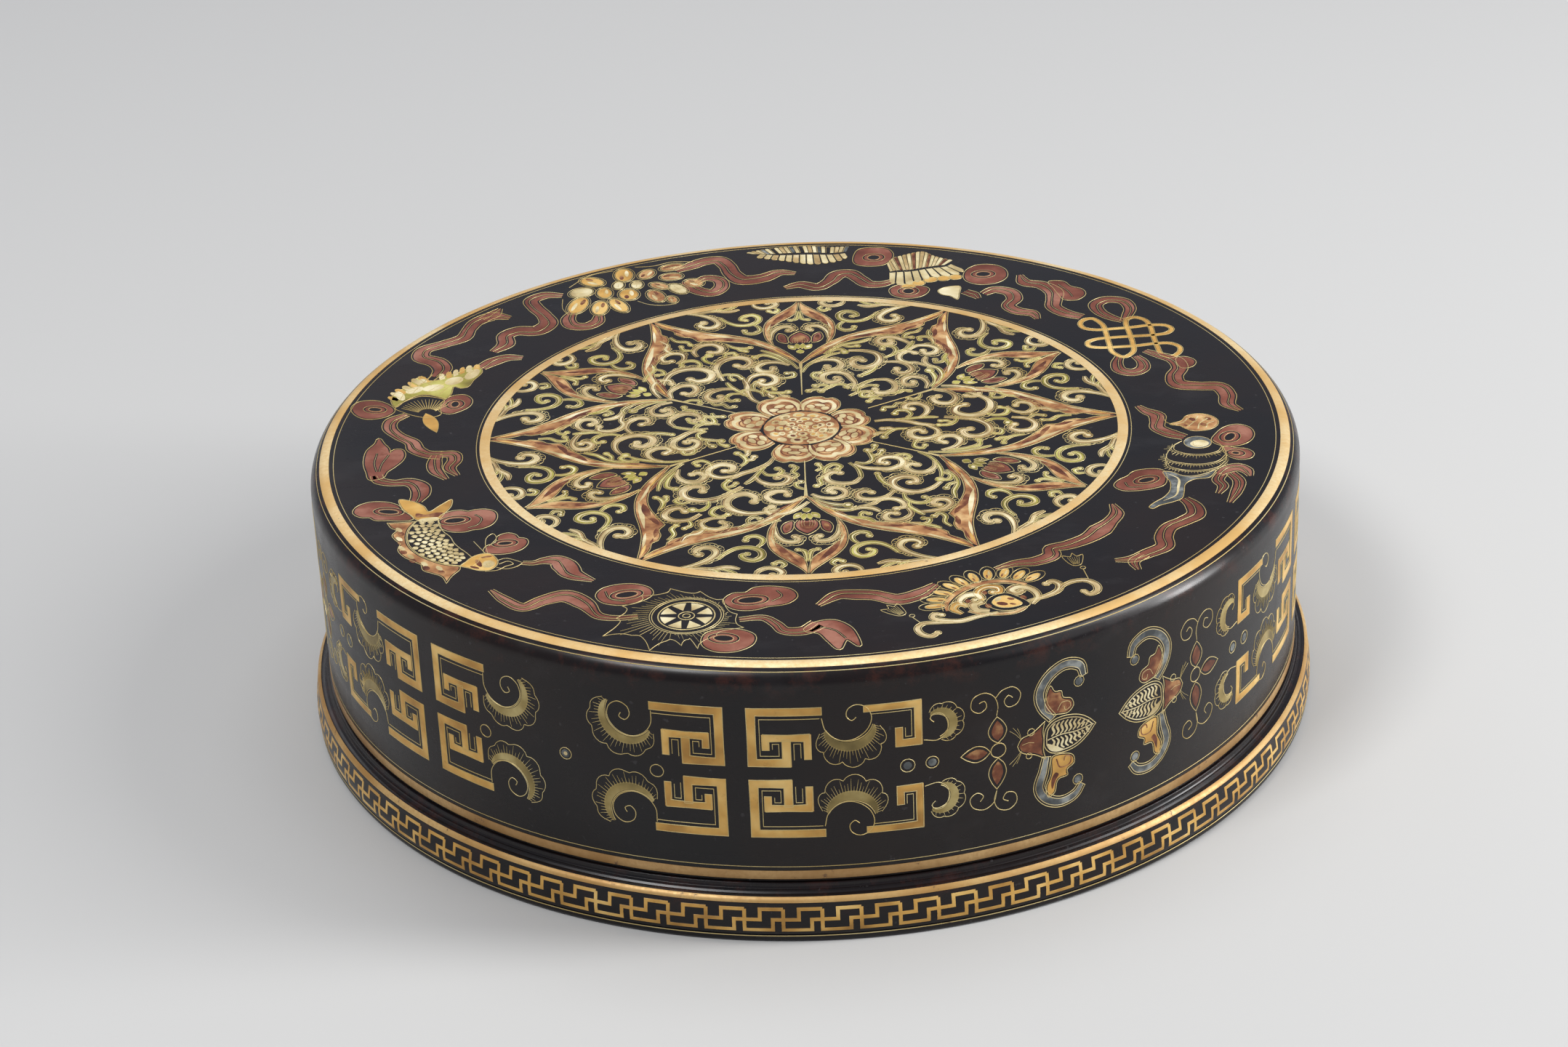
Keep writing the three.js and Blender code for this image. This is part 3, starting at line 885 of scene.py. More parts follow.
def artMesh(name, art, tone, spacing, thin=1.0):
    vertices, edges, faces = [], [], []
    halves, lifts, onPath = [], [], []
    for number, (_, points, half, closed) in enumerate(p for p in art["paths"] if p[0] == tone):
        start = len(vertices)
        wide = mitred(points, half * thin, closed)
        vertices += [(x * mm, y * mm, 0) for x, y in points]
        halves += list(wide * mm)
        lifts += [(number % 9) * inlayPlan["step"] * mm] * len(points)
        onPath += [1.0] * len(points)
        edges += [(start + i, start + i + 1) for i in range(len(points) - 1)]
        if closed:
            edges.append((start + len(points) - 1, start))
    for number, (_, outline) in enumerate(f for f in art["fills"] if f[0] == tone):
        start = len(vertices)
        outline = tidied(outline)
        border = [Vector(p) for p in outline]
        extra = platePoints(outline, spacing)
        cut = delaunay_2d_cdt(border + extra, [], [list(range(len(border)))], 1, 1e-4)
        for corner in cut[0]:
            vertices.append((corner.x * mm, corner.y * mm, 0))
        for triangle in cut[2]:
            a, b, c = (cut[0][i] for i in triangle)
            ordered = triangle if (b - a).cross(c - a) > 0 else triangle[::-1]
            faces.append([start + i for i in ordered])
        count = len(cut[0])
        halves += [0.0] * count
        lifts += [((number * 4) % 11) * inlayPlan["step"] * mm] * count
        onPath += [0.0] * count
    mesh = bpy.data.meshes.new(name)
    mesh.from_pydata(vertices, edges, faces)
    for key, values in (("halfWidth", halves), ("lift", lifts), ("onPath", onPath)):
        layer = mesh.attributes.new(key, "FLOAT", "POINT")
        layer.data.foreach_set("value", values)
    return mesh


def inlaid(name, art, place, seat, copies=1, body="lid"):
    # One piece for each tone of the drawing
    onWall = place == "wall"
    for tone in dict.fromkeys(entry[0] for entry in art["paths"] + art["fills"]):
        finish, slotName, layer = tones[tone]
        kind = inlayPlan["line" if tone == "line" else "tone"]
        values = {"Seat": seat * mm, "Rise": (kind["Rise"] + layer) * mm, "Sink": kind["Sink"] * mm,
            "Crown": kind["Crown"], "Copies": copies, "Finish": finish}
        thin = inlayPlan["wallLine" if onWall else "topLine"] if tone == "line" else 1.0
        title = name + tone[0].upper() + tone[1:]
        mesh = artMesh(title, art, tone, inlayPlan["plate"] if onWall else 0.0, thin)
        piece = settle(title, mesh, inlayTrees[place], values)
        for key in ("halfWidth", "lift", "onPath"):
            if key in piece.data.attributes:
                piece.data.attributes.remove(piece.data.attributes[key])
        piece.data.shade_smooth()
        piece.data.set_sharp_from_angle(angle=math.radians(inlayPlan["sharp"]))
        pieces.append((piece, body, slotName, []))


print("drawing kit ready")




# More drawing kit: shapes that the wall and the top share

def straight(points, step=3.0):
    # Straight runs with their corners kept, cut short enough to follow the wall
    points = [np.asarray(p, float) for p in points]
    out = []
    for a, b in zip(points, points[1:]):
        count = max(1, math.ceil(np.linalg.norm(b - a) / step))
        out += [a + (b - a) * i / count for i in range(count)]
    return np.array(out + [points[-1]])


def offsetRun(points, distance):
    # A parallel run, mitred at corners: positive is to the left of the direction of travel
    points = np.asarray(points, float)
    side = normals(points) * np.reshape(distance, (-1, 1))
    steps = np.diff(points, axis=0)
    steps /= np.maximum(np.linalg.norm(steps, axis=1, keepdims=True), 1e-9)
    factor = np.ones(len(points))
    cosine = np.clip((steps[1:] * steps[:-1]).sum(1), -0.6, 1)
    factor[1:-1] = 1 / np.sqrt((1 + cosine) / 2)
    return points + side * factor[:, None]


def bandBorder(points, widths, margin=0.0):
    half = spread(points, widths) + margin
    left = offsetRun(points, half)
    right = offsetRun(points, -half)
    return np.vstack([left, right[::-1]])


def edgedBar(art, points, width, edge=0.34):
    # A flat gold bar with a paler line along both sides
    run = straight(points)
    band(art, "gold", run, [(0, width), (1, width)])
    border = bandBorder(straight(points, 6.0), [(0, width), (1, width)], -edge / 2)
    ring(art, straight(np.vstack([border, border[:1]]), 4.0)[:-1], edge)


def lens(base, tip, width, bow=0.0, step=0.9):
    # A pointed petal between two points; bow shifts its widest place to the side
    base, tip = np.asarray(base, float), np.asarray(tip, float)
    along = tip - base
    across = np.array([-along[1], along[0]]) / np.linalg.norm(along)
    shape = [(0, 0), (0.2, 0.36), (0.48, 0.5), (0.78, 0.3), (1, 0)]
    left = [base + along * t + across * (width * w + bow * math.sin(t * math.pi)) for t, w in shape]
    right = [base + along * t - across * (width * w - bow * math.sin(t * math.pi)) for t, w in shape]
    return chain(left, right[::-1], step=step)[:-1]


def shrunk(outline, margin):
    # The outline drawn a little inside itself
    turnedLeft = normals(np.vstack([outline, outline[:1]]))[:-1]
    ahead = np.roll(outline, -1, 0)
    area = (outline[:, 0] * ahead[:, 1] - outline[:, 1] * ahead[:, 0]).sum()
    return outline + turnedLeft * (margin if area > 0 else -margin)


def edgedFill(art, tone, outline, width=0.36, margin=0.25):
    shape = flow(outline, closed=True)
    fill(art, tone, shrunk(shape, margin))
    ring(art, shape, width)


def blob(art, tone, outline):
    fill(art, tone, flow(outline, closed=True))


def polar(centre, radius, degrees):
    angle = np.radians(degrees)
    return np.stack([centre[0] + radius * np.cos(angle), centre[1] + radius * np.sin(angle)], 1)


def volute(art, plan):
    # A crescent round a spiral, with a combed fringe and a scalloped edge
    centre = plan["centre"]
    share = np.linspace(0, 1, 41)
    degrees = plan["start"] + (plan["end"] - plan["start"]) * share
    swell = np.sin(math.pi * np.clip(share, 0.004, 0.996)) ** 0.6
    inner = plan["radius"] + 0.5
    outer = inner + 0.15 + plan["thick"] * swell
    crescent = np.vstack([polar(centre, inner, degrees), polar(centre, outer, degrees)[::-1]])
    fill(art, "ochre", crescent)
    line(art, polar(centre, inner - 0.25, degrees), 0.38)
    scallop = np.abs(np.sin(plan["lobes"] * math.pi * share)) ** 0.75
    fringe = plan["fringe"] * np.sin(math.pi * np.clip(share, 0.03, 0.97)) ** 0.4
    rim = outer + fringe * (0.72 + 0.34 * scallop)
    line(art, polar(centre, rim, degrees), 0.3)
    count = int(plan["radius"] * 4.6)
    for k in range(count):
        at = (k + 0.5) / count
        turn = plan["start"] + (plan["end"] - plan["start"]) * at
        low = np.interp(at, share, outer) - 0.3
        high = low + 0.3 + np.interp(at, share, fringe) * (0.55 + 0.28 * math.sin(k * 2.4))
        band(art, "line", polar(centre, np.linspace(low, high, 3), np.full(3, turn)), [(0, 0.26), (1, 0.1)])
    curves(art, 0.38, plan["spiral"])


# Wall: the ornament of half a repeat above its middle, then mirrored down and across

wallPlan = {"middle": 53.05, "dotAxis": -73.8, "batAxis": 88.2, "repeats": 3, "bar": 2.75, "thinBar": 2.3,
    "blockAxis": -22.45}


def keyBlock():
    art = newArt()
    edgedBar(art, [(-46.8, 72.85), (-27, 72.85), (-27, 56.45), (-36.7, 56.45), (-36.7, 64)],
        wallPlan["bar"])
    edgedBar(art, [(-42.6, 57.5), (-42.6, 64.5), (-30.9, 64.5), (-30.9, 60.6)], wallPlan["thinBar"])
    inside = [(-46.2, 70.5), (-29.3, 70.5), (-29.3, 58.7), (-34.6, 58.7), (-34.6, 62.6), (-32.8, 62.6),
        (-32.8, 60.9)]
    line(art, straight(inside), 0.32)
    line(art, straight([(-38.8, 57.4), (-38.8, 62.6), (-40.7, 62.6), (-40.7, 58)]), 0.32)
    return art


def hookBlock():
    art = newArt()
    edgedBar(art, [(13.6, 72.75), (28.9, 72.75), (28.9, 60.55), (23.4, 60.55), (23.4, 65.6)], 2.4)
    line(art, straight([(15.6, 70.9), (27, 70.9), (27, 62.5), (25.2, 62.5), (25.2, 65.4)]), 0.3)
    return art


voluteA = {"centre": (-53, 69.2), "radius": 6.9, "start": 150, "end": 322, "lobes": 6, "thick": 2.5,
    "fringe": 4.2, "spiral": [(-46.4, 71.2), (-46.6, 67), (-49, 63.6), (-53, 62.2), (-57.4, 64),
    (-59.6, 67.6), (-58.9, 71.2), (-56.2, 72.9), (-53.4, 71.6), (-52.8, 69), (-54.3, 67.2), (-56, 68.1),
    (-55.4, 69.4)]}
voluteB = {"centre": (9.3, 69.9), "radius": 6.9, "start": 208, "end": 342, "lobes": 5, "thick": 2.9,
    "fringe": 5.0, "spiral": [(1.8, 70.6), (2.9, 66.4), (6.2, 63.4), (10.4, 63.2), (14.4, 66), (15.8, 70),
    (14.4, 73.2), (11.6, 74.3), (9.2, 73), (8.8, 70.7), (10.3, 69.3), (11.5, 70.3)]}
voluteC = {"centre": (33.9, 64.6), "radius": 3.5, "start": 112, "end": -72, "lobes": 5, "thick": 2.3,
    "fringe": 2.1, "spiral": [(33.4, 65.9), (32.3, 67.2), (33.4, 68.6), (35.9, 68.2), (37.4, 65.2),
    (37, 62), (34.4, 60), (30.4, 60.6)]}


def ringedDot(art, u, z, outer=2.1, inner=1.25):
    ring(art, circle(u, z, outer), 0.34)
    fill(art, "blueGrey", circle(u, z, inner))


def crossFlower():
    art = newArt()
    ring(art, circle(52.3, 52.8, 2.3), 0.42)
    for base, tip, width in (((52.2, 55.2), (52, 63.8), 5.6), ((52.2, 50.3), (51.7, 40.2), 5.4),
            ((49.9, 52.8), (41, 53), 5.2)):
        petal = lens(base, tip, width)
        ring(art, petal, 0.36)
        base, tip = np.asarray(base), np.asarray(tip)
        fill(art, "brown", lens(base + (tip - base) * 0.1, tip - (tip - base) * 0.14, width - 2.0))
    curves(art, 0.36, [(51.9, 64.2), (52.3, 67.4), (51, 70.7), (48, 72.3), (44.8, 71), (44.4, 67.7),
        (46.8, 66.1), (48.9, 67.6), (48.2, 69.7), (46.7, 69.2)], [(51.6, 69.9), (53.6, 71.9), (57, 72.3),
        (59.3, 69.7), (58.2, 66.7), (55.4, 66.2), (54.2, 68.3), (55.6, 69.9), (56.8, 68.9)],
        [(51.7, 39.8), (50.7, 36), (47.8, 34.3), (44.4, 35.6), (43.6, 38.6), (45.7, 40.2), (47.6, 38.8),
        (46.6, 37.2)], [(51.6, 39.6), (50.9, 36.4), (52.2, 33.5), (55.4, 32.6), (57.8, 34.6), (57.3, 37.6),
        (54.8, 38.4), (53.6, 36.5), (55.2, 35.4)])
    return art


def batWing(art, spine, width, bulb):
    run = flow(spine)
    widths = [(0, width * 0.62), (0.25, width), (0.85, width * 0.9), (1, width * 0.55)]
    band(art, "blueGrey", run, widths)
    ring(art, bandBorder(run, widths, 0.75), 0.34)
    ring(art, bandBorder(run, widths, 0.05), 0.22, tone="cream")
    fill(art, "blueGrey", circle(bulb[0], bulb[1], 1.25))
    ring(art, circle(bulb[0], bulb[1], 1.7), 0.3)


def bat():
    art = newArt()
    body = chain([(66.6, 52.6), (67.2, 55.8), (69.6, 57.9), (73.4, 58.4), (78.2, 57.3), (81.6, 55.1),
        (84, 52.6)], [(84, 52.6), (81.2, 49.6), (77.2, 47.2), (72.4, 46.6), (68.6, 47.7), (66.8, 50),
        (66.6, 52.6)])[:-1]
    ring(art, body, 0.38)
    ring(art, shrunk(body, 0.85), 0.34, tone="cream")
    curves(art, 0.34, [(67.8, 52), (72, 52.6), (77, 52.2), (82.4, 52.6)], tone="cream")
    for k in range(9):
        u = 69.5 + k * 1.42
        high = 56.9 - 0.032 * (u - 72) ** 2
        low = 48.0 + 0.034 * (u - 71.5) ** 2
        rib = flow([(u - 0.5, 52.9), (u + 0.45, 53.9), (u - 0.1, high - 1.0), (u + 0.8, high)], 0.5)
        band(art, "cream", rib, [(0, 0.35), (0.5, 0.85), (1, 0.4)])
        rib = flow([(u - 0.3, 51.9), (u + 0.5, 50.8), (u, low + 1.0), (u + 0.9, low)], 0.5)
        band(art, "cream", rib, [(0, 0.35), (0.5, 0.85), (1, 0.4)])
    blob(art, "cream", [(67.5, 50.8), (69, 50.2), (71.8, 48.4), (73.2, 47.4), (70.6, 47.4), (68.4, 48.6)])
    head = chain([(58.2, 52.5), (59.5, 54.7), (62.7, 55.6), (65, 57), (66.9, 58.4)],
        [(66.9, 58.4), (66.3, 55.2), (66.6, 52.5), (66.4, 49.3), (67.2, 45.9)], [(67.2, 45.9), (63.6, 48.4),
        (60.9, 49.3), (59, 50.6), (58.2, 52.5)])[:-1]
    fill(art, "brown", shrunk(head, 0.55))
    ring(art, head, 0.38)
    for u, z, radius in ((62.5, 56.1, 1.15), (61.8, 48.5, 0.95)):
        ring(art, circle(u, z, radius), 0.32)
    curves(art, 0.26, [(59.6, 52.6), (61.6, 52.9), (63.4, 52.4)])
    for du, dz in ((-3.4, 5.6), (-2.4, 6.4), (-1, 5.9), (-3.6, -5.4), (-2.6, -6.2), (-1.3, -5.6)):
        curves(art, 0.16, [(59.4, 52.6 + dz * 0.33), (59.4 + du * 0.5, 52.6 + dz * 0.7),
            (59.2 + du, 52.6 + dz)])
    batWing(art, [(69.4, 58.6), (66.2, 63.2), (65.4, 68), (68.3, 72.6), (73.6, 75), (78.6, 73.2),
        (79.8, 69.6)], 2.3, (78.2, 68.2))
    batWing(art, [(67.4, 46.6), (66.4, 42), (65, 36.6), (67.4, 32.5), (72, 30.4), (76.8, 31.4),
        (79.2, 34.2)], 2.2, (77.8, 36))
    edgedFill(art, "brown", [(67.2, 61.6), (67.2, 66), (68.8, 69.4), (70.2, 67.2), (72.3, 66.8),
        (72.9, 64.6), (75.6, 63.4), (76.4, 61), (74.6, 59.2), (71.6, 59.4), (69.4, 60)], 0.36, 0.45)
    curves(art, 0.34, [(71, 60.8), (72.4, 63), (75, 62.6), (75.2, 60.8), (73.6, 60.2), (73.2, 61.6)])
    edgedFill(art, "gold", [(69.2, 46), (73, 46.1), (76.2, 44.6), (76.6, 42), (74.2, 40.4), (74.4, 38.6),
        (71.2, 38), (70, 34), (68, 33), (67.2, 36.4), (68.8, 40.4)], 0.36, 0.45)
    curves(art, 0.5, [(70.6, 45), (71.8, 42), (75, 42.2), (75.4, 44.4), (73.6, 45.1), (73.1, 43.7)],
        tone="brown")
    blob(art, "brown", [(69.2, 35.4), (70.4, 38.2), (71.4, 39.8), (70.3, 40.6), (69, 38.6)])
    return art


def wallOrnament():
    upper = added(keyBlock(), mirroredX(keyBlock(), wallPlan["blockAxis"]), hookBlock())
    for plan in (voluteA, voluteB, voluteC):
        volute(upper, plan)
    half = added(upper, mirroredY(upper, wallPlan["middle"]))
    ring(half, circle(-45.6, 51.8, 2), 0.36)
    ringedDot(half, 25.6, 53.0)
    ringedDot(half, 32.7, 53.0, 1.9)
    half = added(half, crossFlower(), bat())
    whole = added(half, mirroredX(half, wallPlan["batAxis"]))
    ring(whole, circle(wallPlan["dotAxis"], 52.3, 1.9), 0.34)
    fill(whole, "blueGrey", circle(wallPlan["dotAxis"], 52.3, 1.35))
    fill(whole, "cream", circle(wallPlan["dotAxis"], 52.3, 0.65))
    return whole


def ontoSkin(art, drawnRadius, skin):
    # Drawn at the CAD's radius: the same angles on the skin
    return mapped(art, lambda p: p * np.array([skin / drawnRadius, 1.0]))


inlaid("wall", ontoSkin(wallOrnament(), wallRadius, skinRadius), "wall", skinRadius, wallPlan["repeats"])
print("wall ornament laid")


# Plinth: a running key fret of two interlocked lines

fretPlan = {"count": 90, "top": 10.9, "middle": 7.7, "bottom": 4.3, "width": 1.15, "radius": 159.8}


def fretUnit(plan):
    pitch = math.tau * plan["radius"] / plan["count"]
    high, middle, low = plan["top"], plan["middle"], plan["bottom"]
    art = newArt()
    corners = [(0, high), (0, low), (0.73 * pitch, low), (0.73 * pitch, middle), (1.4 * pitch, middle)]
    corners += [(1.4 * pitch, high), (2 * pitch, high)]
    line(art, straight(corners, 1.2), plan["width"], tone="gold")
    return art


def hugPlinth(piece, seat):
    # Lay the key fret on the plinth's curved side instead of a plain cylinder
    heights, radii = zip(*((z, r) for r, z in plinthSide(plinthPlan)))
    for vertex in piece.data.vertices:
        radius = math.hypot(vertex.co.x, vertex.co.y)
        moved = radius + (np.interp(vertex.co.z / mm, heights, radii) - seat) * mm
        vertex.co.x *= moved / radius
        vertex.co.y *= moved / radius


inlaid("fret", fretUnit(fretPlan), "wall", fretPlan["radius"], fretPlan["count"], body="base")
hugPlinth(pieces[-1][0], fretPlan["radius"])
print("key fret laid")




# Scrolls: a tapering stem with gold edges and a pale streak, a pearl at its tip, sometimes a fringe

scrollPlan = {"slim": 0.8, "pearl": 0.82, "edge": 0.3, "gap": 0.3}
scrollTones = {  # base tone and the share of its width that the pale streak takes
    "cream": ("tan", 0.76),
    "olive": ("olive", 0.44),
    "tan": ("tan", 0.3),
    "copper": ("copper", 0.3),
    "gold": ("gold", 0.25),
}


def outerSide(run):
    # Which sign of offsetRun lies on the outside of a curl
    step = np.diff(run, axis=0)
    turning = np.sum(step[:-1, 0] * step[1:, 1] - step[:-1, 1] * step[1:, 0])
    out = normals(run)[1]
    left = 1 if step[0, 0] * out[1] - step[0, 1] * out[0] > 0 else -1
    return -left if turning > 0 else left


def scroll(art, tone, points, widest, bulb=0.0, fringe=0, taper=None, depth=1.5):
    run = flow(points, 0.8)
    widest = widest * scrollPlan["slim"]
    base, share = scrollTones.get(tone, (tone, 0.0))
    widths = taper or [(0, widest * 0.28), (0.3, widest * 0.72), (0.68, widest), (0.9, widest * 0.8),
        (1, widest * (0.5 if bulb else 0.12))]
    band(art, base, run, widths)
    half = spread(run, widths) + scrollPlan["gap"]
    line(art, offsetRun(run, half), scrollPlan["edge"])
    line(art, offsetRun(run, -half), scrollPlan["edge"])
    side = outerSide(run)
    if share:
        streak = [(0, 0.12), (0.25, widest * share * 0.5), (0.72, widest * share),
            (1, widest * share * 0.3)]
        band(art, "cream", offsetRun(run, half * -0.16 * side), streak)
    if bulb:
        tip, pearl = run[-1], bulb * scrollPlan["pearl"]
        fill(art, base, circle(tip[0], tip[1], pearl, 14))
        fill(art, "cream", circle(tip[0] + pearl * 0.1, tip[1] + pearl * 0.1, pearl * 0.6, 10))
        ring(art, circle(tip[0], tip[1], pearl + scrollPlan["gap"], 14), 0.28)
    if fringe:
        comb(art, run, half, side, depth)


def comb(art, run, half, side, depth, low=0.3, high=0.97):
    # Scallops and short strokes along one side of a scroll
    share, total = shares(run), lengths(run)[-1]
    count = max(3, round(total * (high - low) / 2.6))
    at = np.linspace(low, high, count * 6 + 1)
    middle = np.stack([np.interp(at, share, run[:, 0]), np.interp(at, share, run[:, 1])], 1)
    reach = np.interp(at, share, half)
    fade = np.sin(math.pi * np.linspace(0.05, 0.95, len(at))) ** 0.5
    lobes = np.abs(np.sin(np.linspace(0, count * math.pi, len(at)))) ** 0.7
    rim = offsetRun(middle, side * (reach + depth * fade * (0.55 + 0.45 * lobes)))
    line(art, rim, 0.28)
    inner = offsetRun(middle, side * (reach + 0.05))
    for k in range(1, len(at) - 1, 2):
        end = inner[k] + (rim[k] - inner[k]) * 0.62
        band(art, "line", np.stack([inner[k], end]), [(0, 0.3), (1, 0.12)])


def bud(art, tone, base, tip, width, edge=0.28):
    shape = lens(base, tip, width)
    fill(art, tone, shape)
    ring(art, shape, edge)


# Medallion: one twelfth is drawn, mirrored, then turned six times

medallionPlan = {"copies": 6, "scrollCopies": 3, "aside": 1.3, "petalTurn": 30}

petalOuter = [(24, 42), (24.4, 51), (23.3, 59.5), (20.6, 67), (16.5, 73.5), (11.5, 79.5), (7.2, 85.2),
    (3.8, 91.5), (0.6, 98.4)]
petalInner = [[(24, 42), (23, 49), (21.4, 58), (17.8, 65.5), (14, 69.7), (9.5, 73.2), (5.3, 76.2)],
    [(5.3, 76.2), (5, 80), (2.8, 82.7), (1.9, 85.7)], [(1.9, 85.7), (2.6, 87.8), (1, 92), (0.3, 96.5)]]
petalPatches = [  # tone, two ends, width and lean of each patch in the border
    ("brown", (23.5, 45), (20.4, 62), 1.5, 0.4),
    ("brown", (18.2, 67), (10.4, 75.4), 2.4, -0.1),
    ("brown", (11.6, 73.6), (6.2, 77.2), 1.7, 0.1),
    ("brown", (6, 78.4), (3.4, 84.6), 1.7, 0.0),
    ("brown", (3.6, 85), (1.2, 93.6), 1.0, 0.2),
    ("cream", (20.2, 66.4), (9, 81.2), 1.6, 0.15),
    ("cream", (22.9, 55), (19.6, 67.4), 0.9, 0.25),
    ("cream", (7.4, 83.2), (3, 92), 1.0, 0.0),
    ("gold", (3.4, 89.6), (1, 96.4), 0.9, 0.0),
    ("gold", (24, 46), (22.2, 58), 0.8, 0.3),
]
rightPetal = [  # tone, widest, pearl, fringe, points
    ("olive", 1.2, 0.0, 0, [(12.4, -26.6), (14.6, -30), (15.6, -34), (15.8, -37.5)]),
    ("cream", 2.7, 1.2, 1, [(15.6, -37), (13.4, -40.2), (9, -40.6), (5.6, -38.4), (5, -35), (7, -32.6),
        (9.4, -33.4)]),
    ("olive", 1.7, 1.1, 0, [(4.6, -33.4), (5.2, -29.6), (7.4, -27.2), (9.6, -28.8), (8.6, -30.8)]),
    ("olive", 1.3, 1.0, 0, [(2, -31.4), (3.8, -29.4), (2.8, -26.8)]),
    ("olive", 1.4, 1.0, 0, [(4.8, -34.8), (3, -37.6), (3.4, -40.4), (2, -41.6)]),
    ("cream", 3.0, 1.5, 1, [(13.8, -27.6), (17, -30.4), (20.8, -31.4), (25, -31.8), (28.6, -29.2),
        (28.6, -25.4), (25.6, -23.4), (22.2, -24.4), (21.6, -27), (23.6, -27.8)]),
    ("olive", 1.4, 1.2, 0, [(14.2, -26.4), (17.4, -27.4), (19.6, -25.2), (19.2, -21.6), (18.2, -18.4)]),
    ("olive", 1.5, 1.3, 0, [(19.4, -22.4), (21.8, -21.4), (22.6, -19)]),
    ("olive", 1.3, 1.1, 0, [(18.6, -19.6), (20.4, -17.4), (20.6, -15.2)]),
    ("olive", 1.3, 0.9, 0, [(26, -24.4), (27.4, -22.4), (29.8, -22.2), (31.2, -24), (30, -25.4)]),
    ("cream", 2.5, 1.3, 1, [(38.6, -27.2), (38.4, -31.6), (35.8, -34.8), (32, -34.6), (29.8, -31.6),
        (31, -29), (33.2, -29.8)]),
    ("olive", 1.2, 0.0, 0, [(34, -20.8), (37.6, -25), (39.6, -30.4), (40.4, -35.6), (40, -39)]),
    ("olive", 1.6, 1.5, 0, [(40.6, -35.4), (43, -37.6), (42.2, -40.6), (39.6, -40.4)]),
    ("tan", 3.0, 1.3, 1, [(39.8, -42), (36.8, -46), (32.4, -48.2), (28, -46.8), (25.2, -43.2),
        (25.4, -39.4), (28.4, -37.4), (32, -38.6), (32.4, -41.4), (30.4, -41.8)]),
    ("olive", 1.4, 0.0, 0, [(41.8, -34), (44.2, -38.6), (44.8, -43.6), (43.4, -48.8), (43.8, -53.2)]),
    ("olive", 1.2, 1.0, 0, [(44.4, -42.4), (42.2, -44), (41.2, -46.4)]),
    ("olive", 1.7, 0.9, 0, [(24.8, -43.8), (22.6, -41), (21.4, -37.8), (20.8, -34.8)]),
    ("tan", 2.2, 1.2, 1, [(25.6, -46.6), (22.8, -50.6), (18.6, -52), (15, -50.8), (14.2, -48),
        (16.2, -46.2), (18.6, -47.4)]),
    ("tan", 2.2, 1.2, 1, [(0.4, -47), (3.6, -49.6), (8, -50.2), (10.8, -47.8), (10, -44.4), (7, -43.2),
        (5.4, -45.2), (7, -46.4)]),
    ("olive", 1.6, 1.6, 0, [(0.6, -49), (3.6, -52.6), (7.6, -54.6), (11.2, -55.2)]),
    ("olive", 1.5, 0.0, 0, [(1.4, -51.6), (4.6, -55.8), (8.6, -58), (12.2, -58.2), (14, -56)]),
    ("cream", 1.8, 0.0, 0, [(12, -58.4), (15.6, -57.2), (18.6, -58), (20.8, -60.2)]),
    ("cream", 2.1, 1.2, 0, [(14.6, -56.6), (19, -54.8), (20.6, -52.6), (24.4, -52), (27.4, -54.2),
        (28, -57.6), (25.6, -58.8)]),
    ("olive", 1.6, 1.0, 0, [(28.2, -48.6), (28.8, -52.4), (31.4, -55.2), (34.4, -55.4), (36, -53.2),
        (34.4, -51.8)]),
    ("tan", 2.7, 1.3, 1, [(31.6, -61.6), (36.6, -61), (40.2, -59.6), (42.2, -56.4), (40.6, -53.6),
        (37.6, -53.8), (36.8, -56.6), (38.6, -57.6)]),
    ("olive", 1.4, 0.0, 0, [(29.8, -53.6), (29.6, -57.4), (31.4, -60.4), (33.8, -63.6)]),
    ("cream", 2.4, 1.1, 1, [(29, -58.6), (30, -62.4), (27.6, -65.8), (23.8, -66.4), (22, -63.8),
        (23.2, -61.4), (25.6, -62)]),
    ("olive", 1.6, 0.0, 0, [(9.6, -62), (13, -63.6), (16.6, -64.4), (19.4, -67.6)]),
    ("olive", 1.3, 0.9, 0, [(17, -65), (14.8, -62.4), (15.6, -60.4), (17.4, -61.4)]),
    ("olive", 1.3, 0.8, 0, [(28, -67.6), (31, -69.4), (34.4, -68.8), (35.2, -66.4), (33.4, -65.8)]),
    ("olive", 1.3, 1.0, 0, [(41.4, -71.6), (39.6, -68.6), (40, -65), (38.4, -62.8), (36.6, -64.6)]),
    ("olive", 1.0, 0.0, 0, [(31, -69.6), (35.4, -70.4), (38.4, -72.6)]),
]
